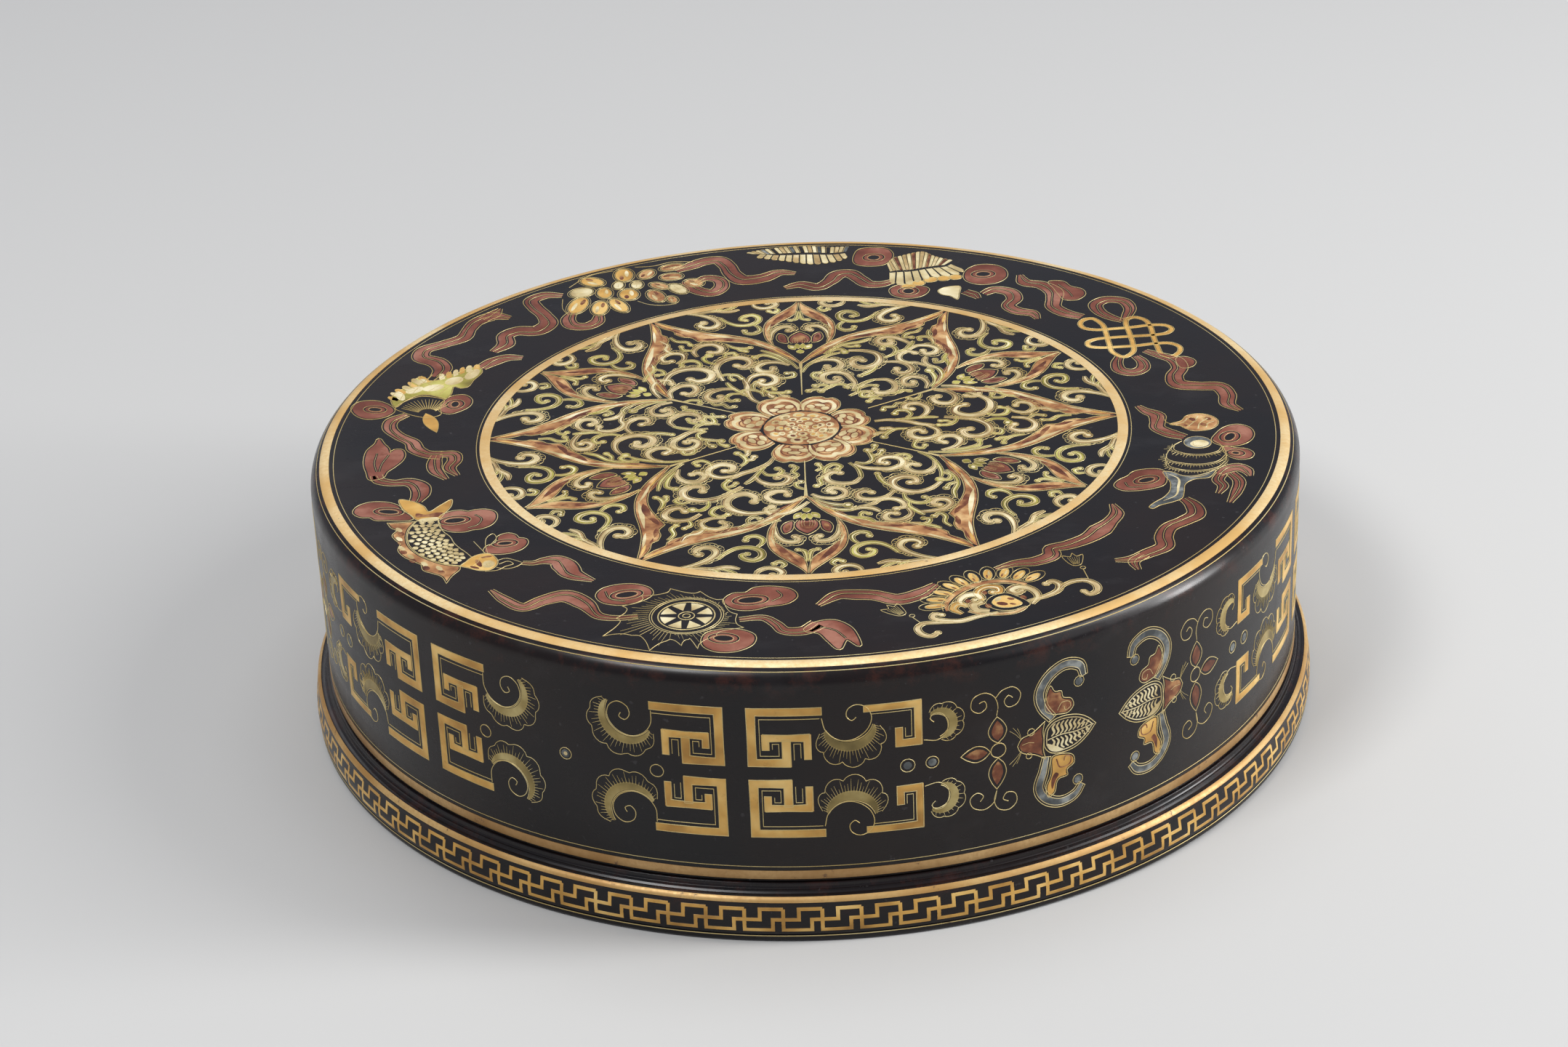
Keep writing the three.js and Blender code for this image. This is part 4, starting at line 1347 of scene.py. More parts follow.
leftPetal = [
    ("olive", 1.6, 1.2, 0, [(-21, -26.2), (-19.2, -22.6), (-20.4, -18.8), (-22, -17)]),
    ("cream", 1.5, 1.1, 0, [(-19.4, -22.4), (-17.6, -21.8), (-16.8, -19.8)]),
    ("cream", 1.4, 1.0, 0, [(-20, -19.4), (-18.8, -17.8), (-18.8, -15.8)]),
    ("tan", 1.9, 0.0, 0, [(-10.6, -20.6), (-12.4, -24.8), (-16.4, -28.8), (-20.8, -31.4), (-24, -34.6)]),
    ("olive", 1.4, 0.0, 0, [(-13.4, -26.6), (-15.6, -31.4), (-17.4, -35.4), (-19.8, -38.6)]),
    ("cream", 3.1, 1.3, 1, [(-22.4, -32.4), (-27.4, -33.4), (-30.8, -30.6), (-30.2, -26.4), (-26.6, -24.2),
        (-23.4, -26), (-23.8, -28.8), (-26, -29)]),
    ("olive", 1.3, 0.9, 0, [(-29.8, -26.4), (-30.6, -23.2), (-33.2, -21.2), (-35.4, -22.6),
        (-34.2, -24.4)]),
    ("cream", 2.7, 1.2, 1, [(-40.2, -26.6), (-40.4, -31.4), (-37.8, -35.2), (-33.8, -35.4), (-32, -32.4),
        (-33.6, -29.6), (-36, -30.4)]),
    ("tan", 2.6, 1.3, 1, [(-16.8, -33.4), (-14.8, -37.4), (-11.4, -39.6), (-7.4, -38.8), (-6, -35.6),
        (-7.8, -33.6), (-9.8, -35)]),
    ("olive", 1.4, 1.1, 0, [(-14.4, -30), (-12.8, -32.8), (-9.6, -32.8), (-8.2, -30.4), (-9.6, -28.8)]),
    ("olive", 1.2, 0.9, 0, [(-5.2, -36), (-3.6, -33.6), (-5, -31.2), (-3.8, -28.4), (-5.2, -27.2)]),
    ("olive", 1.2, 0.9, 0, [(-1.4, -43.6), (-3.6, -42), (-4.2, -39.6), (-2.6, -38.4)]),
    ("cream", 3.3, 1.5, 1, [(-9, -56.2), (-13.6, -57.8), (-18.6, -58.4), (-23.2, -55.8), (-25.4, -51.2),
        (-24, -46.6), (-19.6, -45), (-16.6, -47.6), (-17, -50.6)]),
    ("tan", 2.5, 1.2, 1, [(-2, -48.6), (-6, -51.6), (-11, -51), (-13.2, -47.4), (-10.8, -44.4),
        (-7.4, -44.6), (-6.8, -47)]),
    ("cream", 1.9, 1.3, 0, [(-0.6, -52), (-4, -56.4), (-8.4, -59.4), (-12.4, -58.8), (-13.4, -56),
        (-11.6, -54.4)]),
    ("olive", 1.6, 0.9, 0, [(-22.6, -43.6), (-25.2, -41.4), (-26, -38.2), (-24.6, -35.6)]),
    ("olive", 1.2, 0.8, 0, [(-25.6, -40.4), (-23.4, -39.4), (-22.4, -37.6)]),
    ("tan", 3.0, 1.4, 1, [(-20.6, -40.2), (-24, -43.8), (-28, -47.4), (-33.4, -48.4), (-37.8, -46),
        (-38.6, -41.8), (-36, -38.8), (-32.6, -39.4), (-32.6, -42.2)]),
    ("olive", 1.3, 1.5, 0, [(-30.8, -48.8), (-30.8, -52.2), (-33, -55), (-35.6, -54.4)]),
    ("tan", 2.6, 1.2, 1, [(-33, -57.4), (-36.4, -60.8), (-41, -61), (-43.8, -57.8), (-42.6, -54),
        (-39.4, -52.8), (-37.8, -55.4)]),
    ("olive", 1.7, 1.0, 0, [(-24.4, -52.4), (-28.4, -53.6), (-29.8, -57), (-27.2, -59.8), (-24.8, -58.4)]),
    ("cream", 2.1, 1.1, 1, [(-25.4, -60.6), (-30, -60.6), (-32.8, -63.2), (-31.4, -66.8), (-27.6, -67.8),
        (-25.2, -65.4), (-26.6, -63.2)]),
    ("olive", 1.6, 0.0, 0, [(-9, -63.4), (-13.4, -64.6), (-18, -65), (-21.8, -68)]),
    ("olive", 1.3, 0.9, 0, [(-18.6, -65.6), (-18.8, -62.4), (-17, -60.6), (-15.2, -62)]),
    ("olive", 1.4, 0.9, 0, [(-42.6, -73.6), (-40.8, -70), (-41.6, -66.4), (-40.2, -64.2)]),
    ("cream", 1.8, 0.9, 0, [(-38.6, -75), (-37, -71.2), (-33.6, -69.8), (-31.8, -66.8)]),
    ("olive", 1.5, 0.9, 0, [(-45.6, -54), (-44.4, -49.8), (-45.2, -46.6), (-46.8, -45.2)]),
    ("olive", 1.2, 0.9, 0, [(-44.8, -49), (-43.4, -47.2), (-43.6, -45)]),
    ("olive", 1.6, 1.3, 0, [(-41, -28), (-43.2, -33.6), (-43.4, -38.4), (-40.8, -40)]),
    ("olive", 1.1, 0.0, 0, [(-38.8, -22.6), (-42.6, -28), (-45.4, -34.4), (-46.2, -41)]),
    ("olive", 1.3, 0.9, 0, [(-36, -48.6), (-38.8, -50), (-40.8, -48), (-39.4, -46.4)]),
    ("olive", 1.2, 0.8, 0, [(-36.6, -61.2), (-35.8, -64.4), (-37.8, -66.4)]),
]

spandrel = [
    ("olive", 1.8, 0.95, 0, [(15, 80.2), (13.5, 78), (13.2, 75.2), (15.4, 73), (17.9, 73.8), (18.3, 75.6)]),
    ("olive", 2.2, 0.9, 0, [(26.4, 86.8), (24, 83), (20.8, 80.4), (17, 80.2), (13.9, 82.6), (13.6, 86.2),
        (15.8, 88.4), (18.6, 87.2), (19.4, 84.9), (17.8, 84.2)]),
    ("cream", 2.6, 1.5, 1, [(38.6, 92), (33, 89.8), (28.6, 86.2), (26.9, 82.4), (28.4, 79.4), (31.4, 79.2),
        (33.2, 81.4), (32, 83.4)]),
    ("tan", 1.9, 0.0, 0, [(39, 92.2), (33.6, 91.9), (28.2, 92.9), (23.6, 92), (20, 93.4)]),
    ("olive", 1.1, 0.0, 0, [(26.8, 92.4), (23.4, 94.2), (20.8, 96.6)]),
    ("olive", 1.2, 0.0, 0, [(29.4, 92.4), (26.6, 94.4), (26, 97.4)]),
    ("olive", 1.6, 0.9, 0, [(8, 93.4), (6.9, 91.6), (8.4, 89.9), (10, 91)]),
    ("cream", 2.3, 0.9, 0, [(15.4, 98.6), (14.9, 95.6), (12.4, 93.6), (9.2, 94.2), (7.7, 96.8), (9.2, 98.6),
        (10.6, 97.6)]),
]


def beside(run, away, gap):
    # The run moved off by a gap, to the side that lies away from another run
    one, other = offsetRun(run, gap), offsetRun(run, -gap)
    middle = away[len(away) // 2]
    at = len(run) // 2
    return one if np.hypot(*(one[at] - middle)) > np.hypot(*(other[at] - middle)) else other


def borderPetal():
    # Half of a large petal's border, in its own frame: |across|, outward
    art = newArt()
    outer = flow(petalOuter)
    inner = chain(*petalInner)
    fill(art, "copper", np.vstack([outer, inner[::-1]]))
    line(art, beside(outer, inner, 0.42), 0.36)
    line(art, beside(inner, outer, 0.36), 0.36)
    for tone, base, tip, width, lean in petalPatches:
        fill(art, tone, lens(base, tip, width, lean))
    return art


def scrollwork(items):
    art = newArt()
    for tone, widest, pearl, fringe, points in items:
        scroll(art, tone, points, widest, pearl, fringe)
    return art


def fromPetalFrame(art):
    # Across and outward in the petal's frame to the sector beside the front axis
    turn = math.radians(medallionPlan["petalTurn"])
    c, s = math.cos(turn), math.sin(turn)
    return mapped(art, lambda p: np.stack([s * p[:, 1] - c * p[:, 0], -c * p[:, 1] - s * p[:, 0]], 1))


def smallPetal():
    # Half of the small petal with its lotus, drawn at x >= 0 with y outward
    art = newArt()
    outer = flow([(9, 63.2), (11, 69), (11.6, 75.5), (10.9, 81), (8.3, 86.2), (4.6, 91), (1.6, 95),
        (0.3, 97.6)])
    inner = flow([(9, 63.2), (9.8, 70), (9.7, 76.5), (7.5, 81), (3.8, 85), (1.4, 88.6), (0.7, 92.2),
        (0.3, 97.6)])
    fill(art, "copper", np.vstack([outer, inner[::-1]]))
    line(art, beside(outer, inner, 0.4), 0.34)
    line(art, beside(inner, outer, 0.3), 0.3)
    fill(art, "brown", lens((9.8, 77.6), (2.6, 91), 2.2, -0.5))
    fill(art, "cream", lens((11.1, 74), (5, 89), 1.0, -0.5))
    curves(art, 0.24, [(9.2, 63.6), (10.3, 70), (10.5, 76.4)])
    blob(art, "red", [(2.6, 64.6), (3.3, 66.6), (2.8, 69.2), (1.2, 71.4), (-0.06, 72.4), (-0.06, 64.8),
        (1.5, 64.2)])
    blob(art, "brown", [(1.8, 65.6), (2.3, 67.4), (1.7, 69.2), (-0.06, 70.4), (-0.06, 65.4)])
    curves(art, 0.32, [(2.8, 63.8), (3.9, 66.6), (3.3, 69.8), (1.5, 72.3), (0, 73.6)])
    side = flow([(4.1, 64.2), (6.5, 65.2), (7.8, 68.4), (6.8, 72.4), (4.8, 71), (3.9, 67.8)], closed=True)
    fill(art, "red", shrunk(side, 0.55))
    fill(art, "brown", oval(5.8, 68.4, 0.8, 2.1, -8, 14))
    ring(art, side, 0.3)
    for x in (0.7, 1.5, 2.3):
        band(art, "line", flow([(x, 64.0), (x + 0.2, 66.2), (x * 0.9, 68.2)]), [(0, 0.24), (1, 0.1)])
    bud(art, "olive", (1.6, 59), (3.9, 62.9), 2.4)
    bud(art, "olive", (0.6, 59.6), (1.1, 63.6), 2.0)
    fill(art, "cream", oval(2.7, 61, 0.9, 0.6, 50, 12))
    scroll(art, "cream", [(9.6, 67.6), (9, 73.6), (6.4, 77.4), (3.4, 77.6), (2.4, 75.6), (3.6, 74.4)], 2.2,
        1.2, -1)
    scroll(art, "olive", [(0.5, 90.4), (0.5, 86.6), (1.2, 83.6), (3, 82.8)], 1.3, 0.8)
    return art


def medallionSector():
    half = added(fromPetalFrame(borderPetal()), mirroredY(smallPetal()), mirroredY(scrollwork(spandrel)))
    stem = newArt()
    band(stem, "line", flow([(0, -24), (0, -38), (0, -48)]), [(0, 0.45), (0.6, 0.6), (1, 1.6)])
    band(stem, "copper", flow([(0, -44), (0, -49)]), [(0, 0.2), (1, 1.2)])
    bud(stem, "olive", (0, -55.9), (0, -58.9), 2.6)
    return added(half, mirroredX(half), stem)


inlaid("medallion", medallionSector(), "top", skinTop, medallionPlan["copies"])
for name, items in (("scrollsRight", rightPetal), ("scrollsLeft", leftPetal)):
    drawn = shifted(scrollwork(items), medallionPlan["aside"], 0)
    inlaid(name, drawn, "top", skinTop, medallionPlan["scrollCopies"])
print("medallion laid")




# Rosette: eight lobed petals round a head of small ones, drawn one by one and not quite regular

rosettePlan = {
    "petals": [  # angle, distance of the base, width, height
        (-98, 12.2, 13.4, 12), (-61, 12.6, 14.4, 12.8), (-22, 12.4, 13.6, 11.8), (20, 12, 13, 10),
        (69, 12.2, 12.4, 11), (112, 12.2, 13.6, 11.8), (160, 12.2, 13.4, 12.6), (207, 12.2, 13.6, 11.4),
    ],
    "rings": [  # lobes, distance, width, height, first angle
        (13, 9.6, 4.3, 3.5, 4), (11, 6.9, 3.6, 3.2, 22), (8, 4.3, 3.2, 2.9, 50), (5, 1.9, 2.3, 2.3, 10),
    ],
    "centre": (-0.6, -0.6),
}


def lobedPetal(width, height, share=1.0):
    shape = [(-0.38, 0), (-0.48, 0.26), (-0.5, 0.58), (-0.36, 0.88), (-0.12, 0.98), (0.02, 0.92), (0.16, 1),
        (0.38, 0.86), (0.5, 0.55), (0.47, 0.25), (0.38, 0)]
    return flow([(x * width * share, y * height * share) for x, y in shape], 0.8)


def petalArt(width, height):
    # A rose lobe, a broad pale band between dark ones, then a rose heart with pale scales
    art = newArt()
    fill(art, "copper", lobedPetal(width, height))
    line(art, lobedPetal(width, height, 1.035), 0.34)
    wavy = [(0, 0.5), (0.2, 2), (0.36, 1.2), (0.5, 2.2), (0.66, 1.1), (0.82, 1.9), (1, 0.5)]
    line(art, lobedPetal(width, height, 0.92), 0.36, tone="brown")
    band(art, "cream", lobedPetal(width, height, 0.79), wavy)
    line(art, lobedPetal(width, height, 0.65), 0.6, tone="brown")
    for x, y, wide, high, lean in ((-0.2, 0.3, 0.115, 0.105, -25), (0.19, 0.31, 0.105, 0.11, 28),
            (0, 0.46, 0.14, 0.085, 4), (-0.02, 0.13, 0.16, 0.085, -6)):
        middle = (x * width, y * height)
        fill(art, "cream", oval(*middle, wide * width, high * height, lean, 14))
        ring(art, oval(*middle, wide * width + 0.35, high * height + 0.35, lean, 14), 0.4, tone="brown")
    return art


def rosetteOuter(maker):
    art = newArt()
    for angle, distance, width, height in rosettePlan["petals"]:
        petal = shifted(maker(width, height), 0, distance)
        art = added(art, rotated(petal, angle - 90))
    return shifted(art, *rosettePlan["centre"])


def ringed(maker):
    # One small drawing for each lobe of the head, a little uneven in size and lean
    art = newArt()
    for count, distance, width, height, start in rosettePlan["rings"]:
        for k in range(count):
            size = 1 + 0.15 * math.sin(k * 2.3 + count)
            drawn = maker(width * size, height * size, k + count)
            leant = shifted(rotated(drawn, 14 * math.sin(k * 1.7 + count)), 0,
                distance + 0.5 * math.sin(k * 2.9))
            art = added(art, rotated(leant, start + 360 / count * k))
    return shifted(art, *rosettePlan["centre"])


def scaleLobe(width, height, number):
    art = newArt()
    fill(art, "cream", oval(0, 0, width * 0.42, height * 0.43, 0, 14))
    return art


def scaleHeart(width, height, number):
    # A coloured drop in a lobe, under a gold arc that follows its rim
    art = newArt()
    tone = ("copper", "gold", "tan", "brown")[number % 4]
    fill(art, tone, oval(0, -height * 0.12, width * 0.22, height * 0.2, 0, 10))
    line(art, oval(0, 0, width * 0.34, height * 0.34, 0, 14)[1:7], 0.2)
    return art


head = newArt()
middle = rosettePlan["centre"]
fill(head, "copper", circle(*middle, 11.9, 48))
ring(head, circle(*middle, 12.3, 60), 0.75, tone="ground")
for first, last in ((50, 61), (19, 27)):
    line(head, circle(*middle, 11.5, 64)[np.arange(first, last + 1) % 64], 0.8, tone="cream")
for radius in (8.3, 5.6, 3.1):
    ring(head, circle(*middle, radius, 40), 0.34, tone="brown")


def sprig():
    # A small forked curl that fills the lacquer next to the rosette
    art = newArt()
    for widest, pearl, points in ((1.3, 1.0, [(0, 26.5), (0.6, 30), (-1.4, 33.4), (-4.2, 33.8),
            (-4.6, 31.6)]), (1.2, 0.9, [(0.3, 28.8), (2.8, 32), (5.4, 31.8), (5.2, 29.6)]),
            (1.1, 0.8, [(-0.4, 32.8), (1, 36.2), (3.2, 37.2)])):
        scroll(art, "olive", points, widest, pearl)
    return art


sprigs = added(*(rotated(sprig(), angle - 90) for angle in (55, 117, 171)))
inlaid("sprigs", sprigs, "top", skinTop)
inlaid("rosette", added(rosetteOuter(petalArt), head, ringed(scaleLobe)), "top", skinTop - 0.002)
inlaid("headHearts", ringed(scaleHeart), "top", skinTop + 0.018)
print("rosette laid")


# Emblems round the roundel, each drawn where it lies

def ribbon(art, points, widths, fold=0.34, turns=1.1):
    # Two strips with a dark fold between them that wanders from one side to the other
    run = flow(points, 1.0)
    share = shares(run)
    half = np.interp(share, np.linspace(0, 1, len(widths)), widths) / 2
    crease = fold * np.cos(turns * math.tau * share + 0.7 * len(points)) * half
    gap = np.minimum(0.40, half * 0.32)
    for low, high in ((-half, crease - gap), (crease + gap, half)):
        stops = list(zip(share, np.maximum(0.12, high - low)))
        band(art, "red", offsetRun(run, (low + high) / 2), stops)
    line(art, offsetRun(run, crease), 0.24)
    line(art, offsetRun(run, half + 0.58), 0.32)
    line(art, offsetRun(run, -half - 0.58), 0.32)


def bow(art, outline, hole=None, folds=(), tone="red"):
    # A loop of ribbon with a dark hole, rings round it and creases
    shape = flow(outline, 1.0, closed=True)
    fill(art, tone, shape)
    ring(art, shrunk(shape, -0.58), 0.32)
    if hole:
        x, y, rx, ry, tilt = hole
        fill(art, "ground", oval(x, y, rx, ry, tilt))
        ring(art, oval(x, y, rx + 0.3, ry + 0.3, tilt), 0.28)
        ring(art, oval(x, y, rx + 1.7, ry + 1.4, tilt), 0.7, tone="ground")
        ring(art, oval(x, y, rx + 2.0, ry + 1.6, tilt), 0.24)
    for fold in folds:
        curves(art, 0.9, fold, tone="ground")
        curves(art, 0.24, fold)


def evenly(points, count):
    run = flow(points, 0.6)
    share = shares(run)
    at = np.linspace(0, 1, count)
    return np.stack([np.interp(at, share, run[:, 0]), np.interp(at, share, run[:, 1])], 1)


def rayed(art, rim, foot, count, tones, bulge=0.5, edge=0.26):
    # Side by side strokes from a foot line to a scalloped rim
    rim, foot = evenly(rim, count + 1), evenly(foot, count + 1)
    for k in range(count):
        away = (rim[k] + rim[k + 1] - foot[k] - foot[k + 1]) / 2
        away /= max(np.linalg.norm(away), 0.01)
        step = np.linalg.norm(rim[k + 1] - rim[k])
        a, b = rim[k] + (rim[k + 1] - rim[k]) * 0.12, rim[k] + (rim[k + 1] - rim[k]) * 0.88
        c, d = foot[k] + (foot[k + 1] - foot[k]) * 0.88, foot[k] + (foot[k + 1] - foot[k]) * 0.12
        crown = (a + b) / 2 + away * step * bulge
        shoulder = away * step * bulge * 0.75
        shape = np.array([d, a, a * 0.8 + b * 0.2 + shoulder, crown, a * 0.2 + b * 0.8 + shoulder, b, c])
        fill(art, tones[k % len(tones)], shape)
        line(art, shape[:-1] + (shape[:-1] - shape[:-1].mean(0)) * 0.04, edge)


def fullPetal(art, tone, base, tip, width, halo=True):
    base, tip = np.asarray(base, float), np.asarray(tip, float)
    middle, reach = (base + tip) / 2, np.linalg.norm(tip - base)
    tilt = math.degrees(math.atan2(tip[1] - base[1], tip[0] - base[0]))
    fill(art, tone, oval(*middle, reach * 0.46, width * 0.46, tilt, 18))
    ring(art, oval(*middle, reach * 0.5, width * 0.5, tilt, 20), 0.3)
    if halo:
        ring(art, oval(*middle, reach * 0.5 + 0.8, width * 0.5 + 0.7, tilt, 20), 0.24)
    band(art, "line", np.stack([base + (tip - base) * 0.22, base + (tip - base) * 0.7]),
        [(0, 0.34), (1, 0.14)])
    away = np.array([tip[1] - base[1], base[0] - tip[0]]) / reach
    if tone != "cream":
        fill(art, "cream", oval(*middle + away * width * 0.16 + (tip - base) * 0.1, reach * 0.24,
            width * 0.11, tilt, 12))
        fill(art, "brown", oval(*middle - away * width * 0.14 - (tip - base) * 0.2, reach * 0.17,
            width * 0.12, tilt, 12))


wheelPlan = {"centre": (-35.2, -120.4), "rays": 66, "spokes": 8, "spokeHalf": 0.29}


def wheel():
    art = newArt()
    x, y = wheelPlan["centre"]
    tips = [(-40, -103.8), (-48.2, -107.6), (-53.6, -113.2), (-55.2, -120.4), (-58.6, -130.4),
        (-50.4, -130.6), (-45.2, -139.6), (-40.6, -134.6), (-36.4, -137.6), (-34.4, -134.2),
        (-31.8, -139.8), (-26.6, -132.8), (-19, -128.6), (-20.8, -120.6), (-24.8, -111.4), (-31.4, -106.2)]
    leaf = []
    for k, tip in enumerate(tips):
        tip, after = np.array(tip), np.array(tips[(k + 1) % len(tips)])
        middle = (tip + after) / 2
        middle += (np.array([x, y]) - middle) * 0.09
        leaf.append(flow([tip, tip * 0.66 + middle * 0.34 + (np.array([x, y]) - middle) * 0.06, middle,
            after], 0.9))
    leaf = chain(*leaf)
    ring(art, leaf[:-1], 0.32)
    reach = np.linalg.norm(leaf - np.array([x, y]), axis=1)
    turn = np.arctan2(leaf[:, 1] - y, leaf[:, 0] - x)
    order = np.argsort(turn)
    for k in range(wheelPlan["rays"]):
        angle = (math.tau * k / wheelPlan["rays"] + 0.03) % math.tau - math.pi
        far = np.interp(angle, turn[order], reach[order]) * (0.86 + 0.06 * math.sin(k * 2.3))
        start = np.array([x + 11.0 * math.cos(angle), y + 11.0 * math.sin(angle)])
        end = np.array([x + far * math.cos(angle + 0.07), y + far * math.sin(angle + 0.07)])
        band(art, "line", np.stack([start, end]), [(0, 0.2), (1, 0.07)])
    for radius, width in ((8.1, 0.5), (9.9, 0.34), (10.6, 0.34), (2.3, 0.4), (1.1, 0.34)):
        ring(art, circle(x, y, radius, 44 if radius > 5 else 18), width)
    for k in range(wheelPlan["spokes"]):
        angle = math.tau * (k + 0.4) / wheelPlan["spokes"]
        wedge = [polar((x, y), 3.1, [math.degrees(angle)])[0]]
        sweep = np.linspace(angle - wheelPlan["spokeHalf"], angle + wheelPlan["spokeHalf"], 6)
        wedge += list(polar((x, y), 7.4, np.degrees(sweep)))
        fill(art, "cream", np.array(wedge))
        notch = np.array([polar((x, y), 4.6, [math.degrees(angle)])[0],
            *polar((x, y), 6.7, np.degrees([angle - 0.13, angle + 0.13]))])
        ring(art, notch, 0.3, tone="red")
    bow(art, [(-45.6, -107), (-46, -103.6), (-49.6, -100.8), (-54.8, -100.4), (-59.6, -102.6),
        (-61, -106.4), (-59.2, -110.2), (-55, -112), (-50.4, -111.4)], (-52.6, -106.4, 3, 1.5, 12),
        [[(-58.8, -104), (-57.2, -108.6), (-52.8, -110.6)]])
    bow(art, [(-24.4, -112.6), (-22, -108.6), (-18.2, -108.2), (-15.8, -105.6), (-10.8, -105.2),
        (-5.4, -107.4), (-4, -111.4), (-6.8, -115.2), (-12, -116.4), (-16.6, -118.2), (-21.6, -117.2)],
        (-17, -112.6, 3.4, 1.6, 4), [[(-9.4, -107.4), (-8, -110.8), (-11, -113.8)]])
    bow(art, [(-29.4, -131.4), (-25, -129.6), (-19.8, -130.2), (-16.2, -133.4), (-16.8, -138.4),
        (-21.4, -141.8), (-26.8, -141.4), (-30.2, -137.6)], (-24.6, -134.4, 2.6, 1.5, -12))
    ribbon(art, [(-49, -119.6), (-54.6, -120.2), (-60, -118.6), (-64.4, -111), (-70.2, -105.8),
        (-76.6, -108), (-82, -111.6), (-87.6, -106.6), (-92, -100.4)], [1.2, 1.8, 2.6, 5.2, 5.8, 4.2, 3.2,
        2.6, 0.6])
    ribbon(art, [(-20.2, -123.8), (-13.4, -123.4), (-9.8, -127.4), (-7.4, -131.4), (-2.2, -131.8),
        (2, -128.2)], [1.2, 1.8, 2.2, 2.8, 3.6, 4.6])
    bow(art, [(-1.6, -131.6), (1.2, -127.6), (6.4, -126.6), (10.6, -130.4), (12.6, -136), (13.2, -141.6),
        (9.8, -137.6), (7.6, -143), (4.6, -138), (2.2, -133.4)], None, [[(2.6, -130), (6.6, -132.2),
        (9.6, -137)]])
    return art


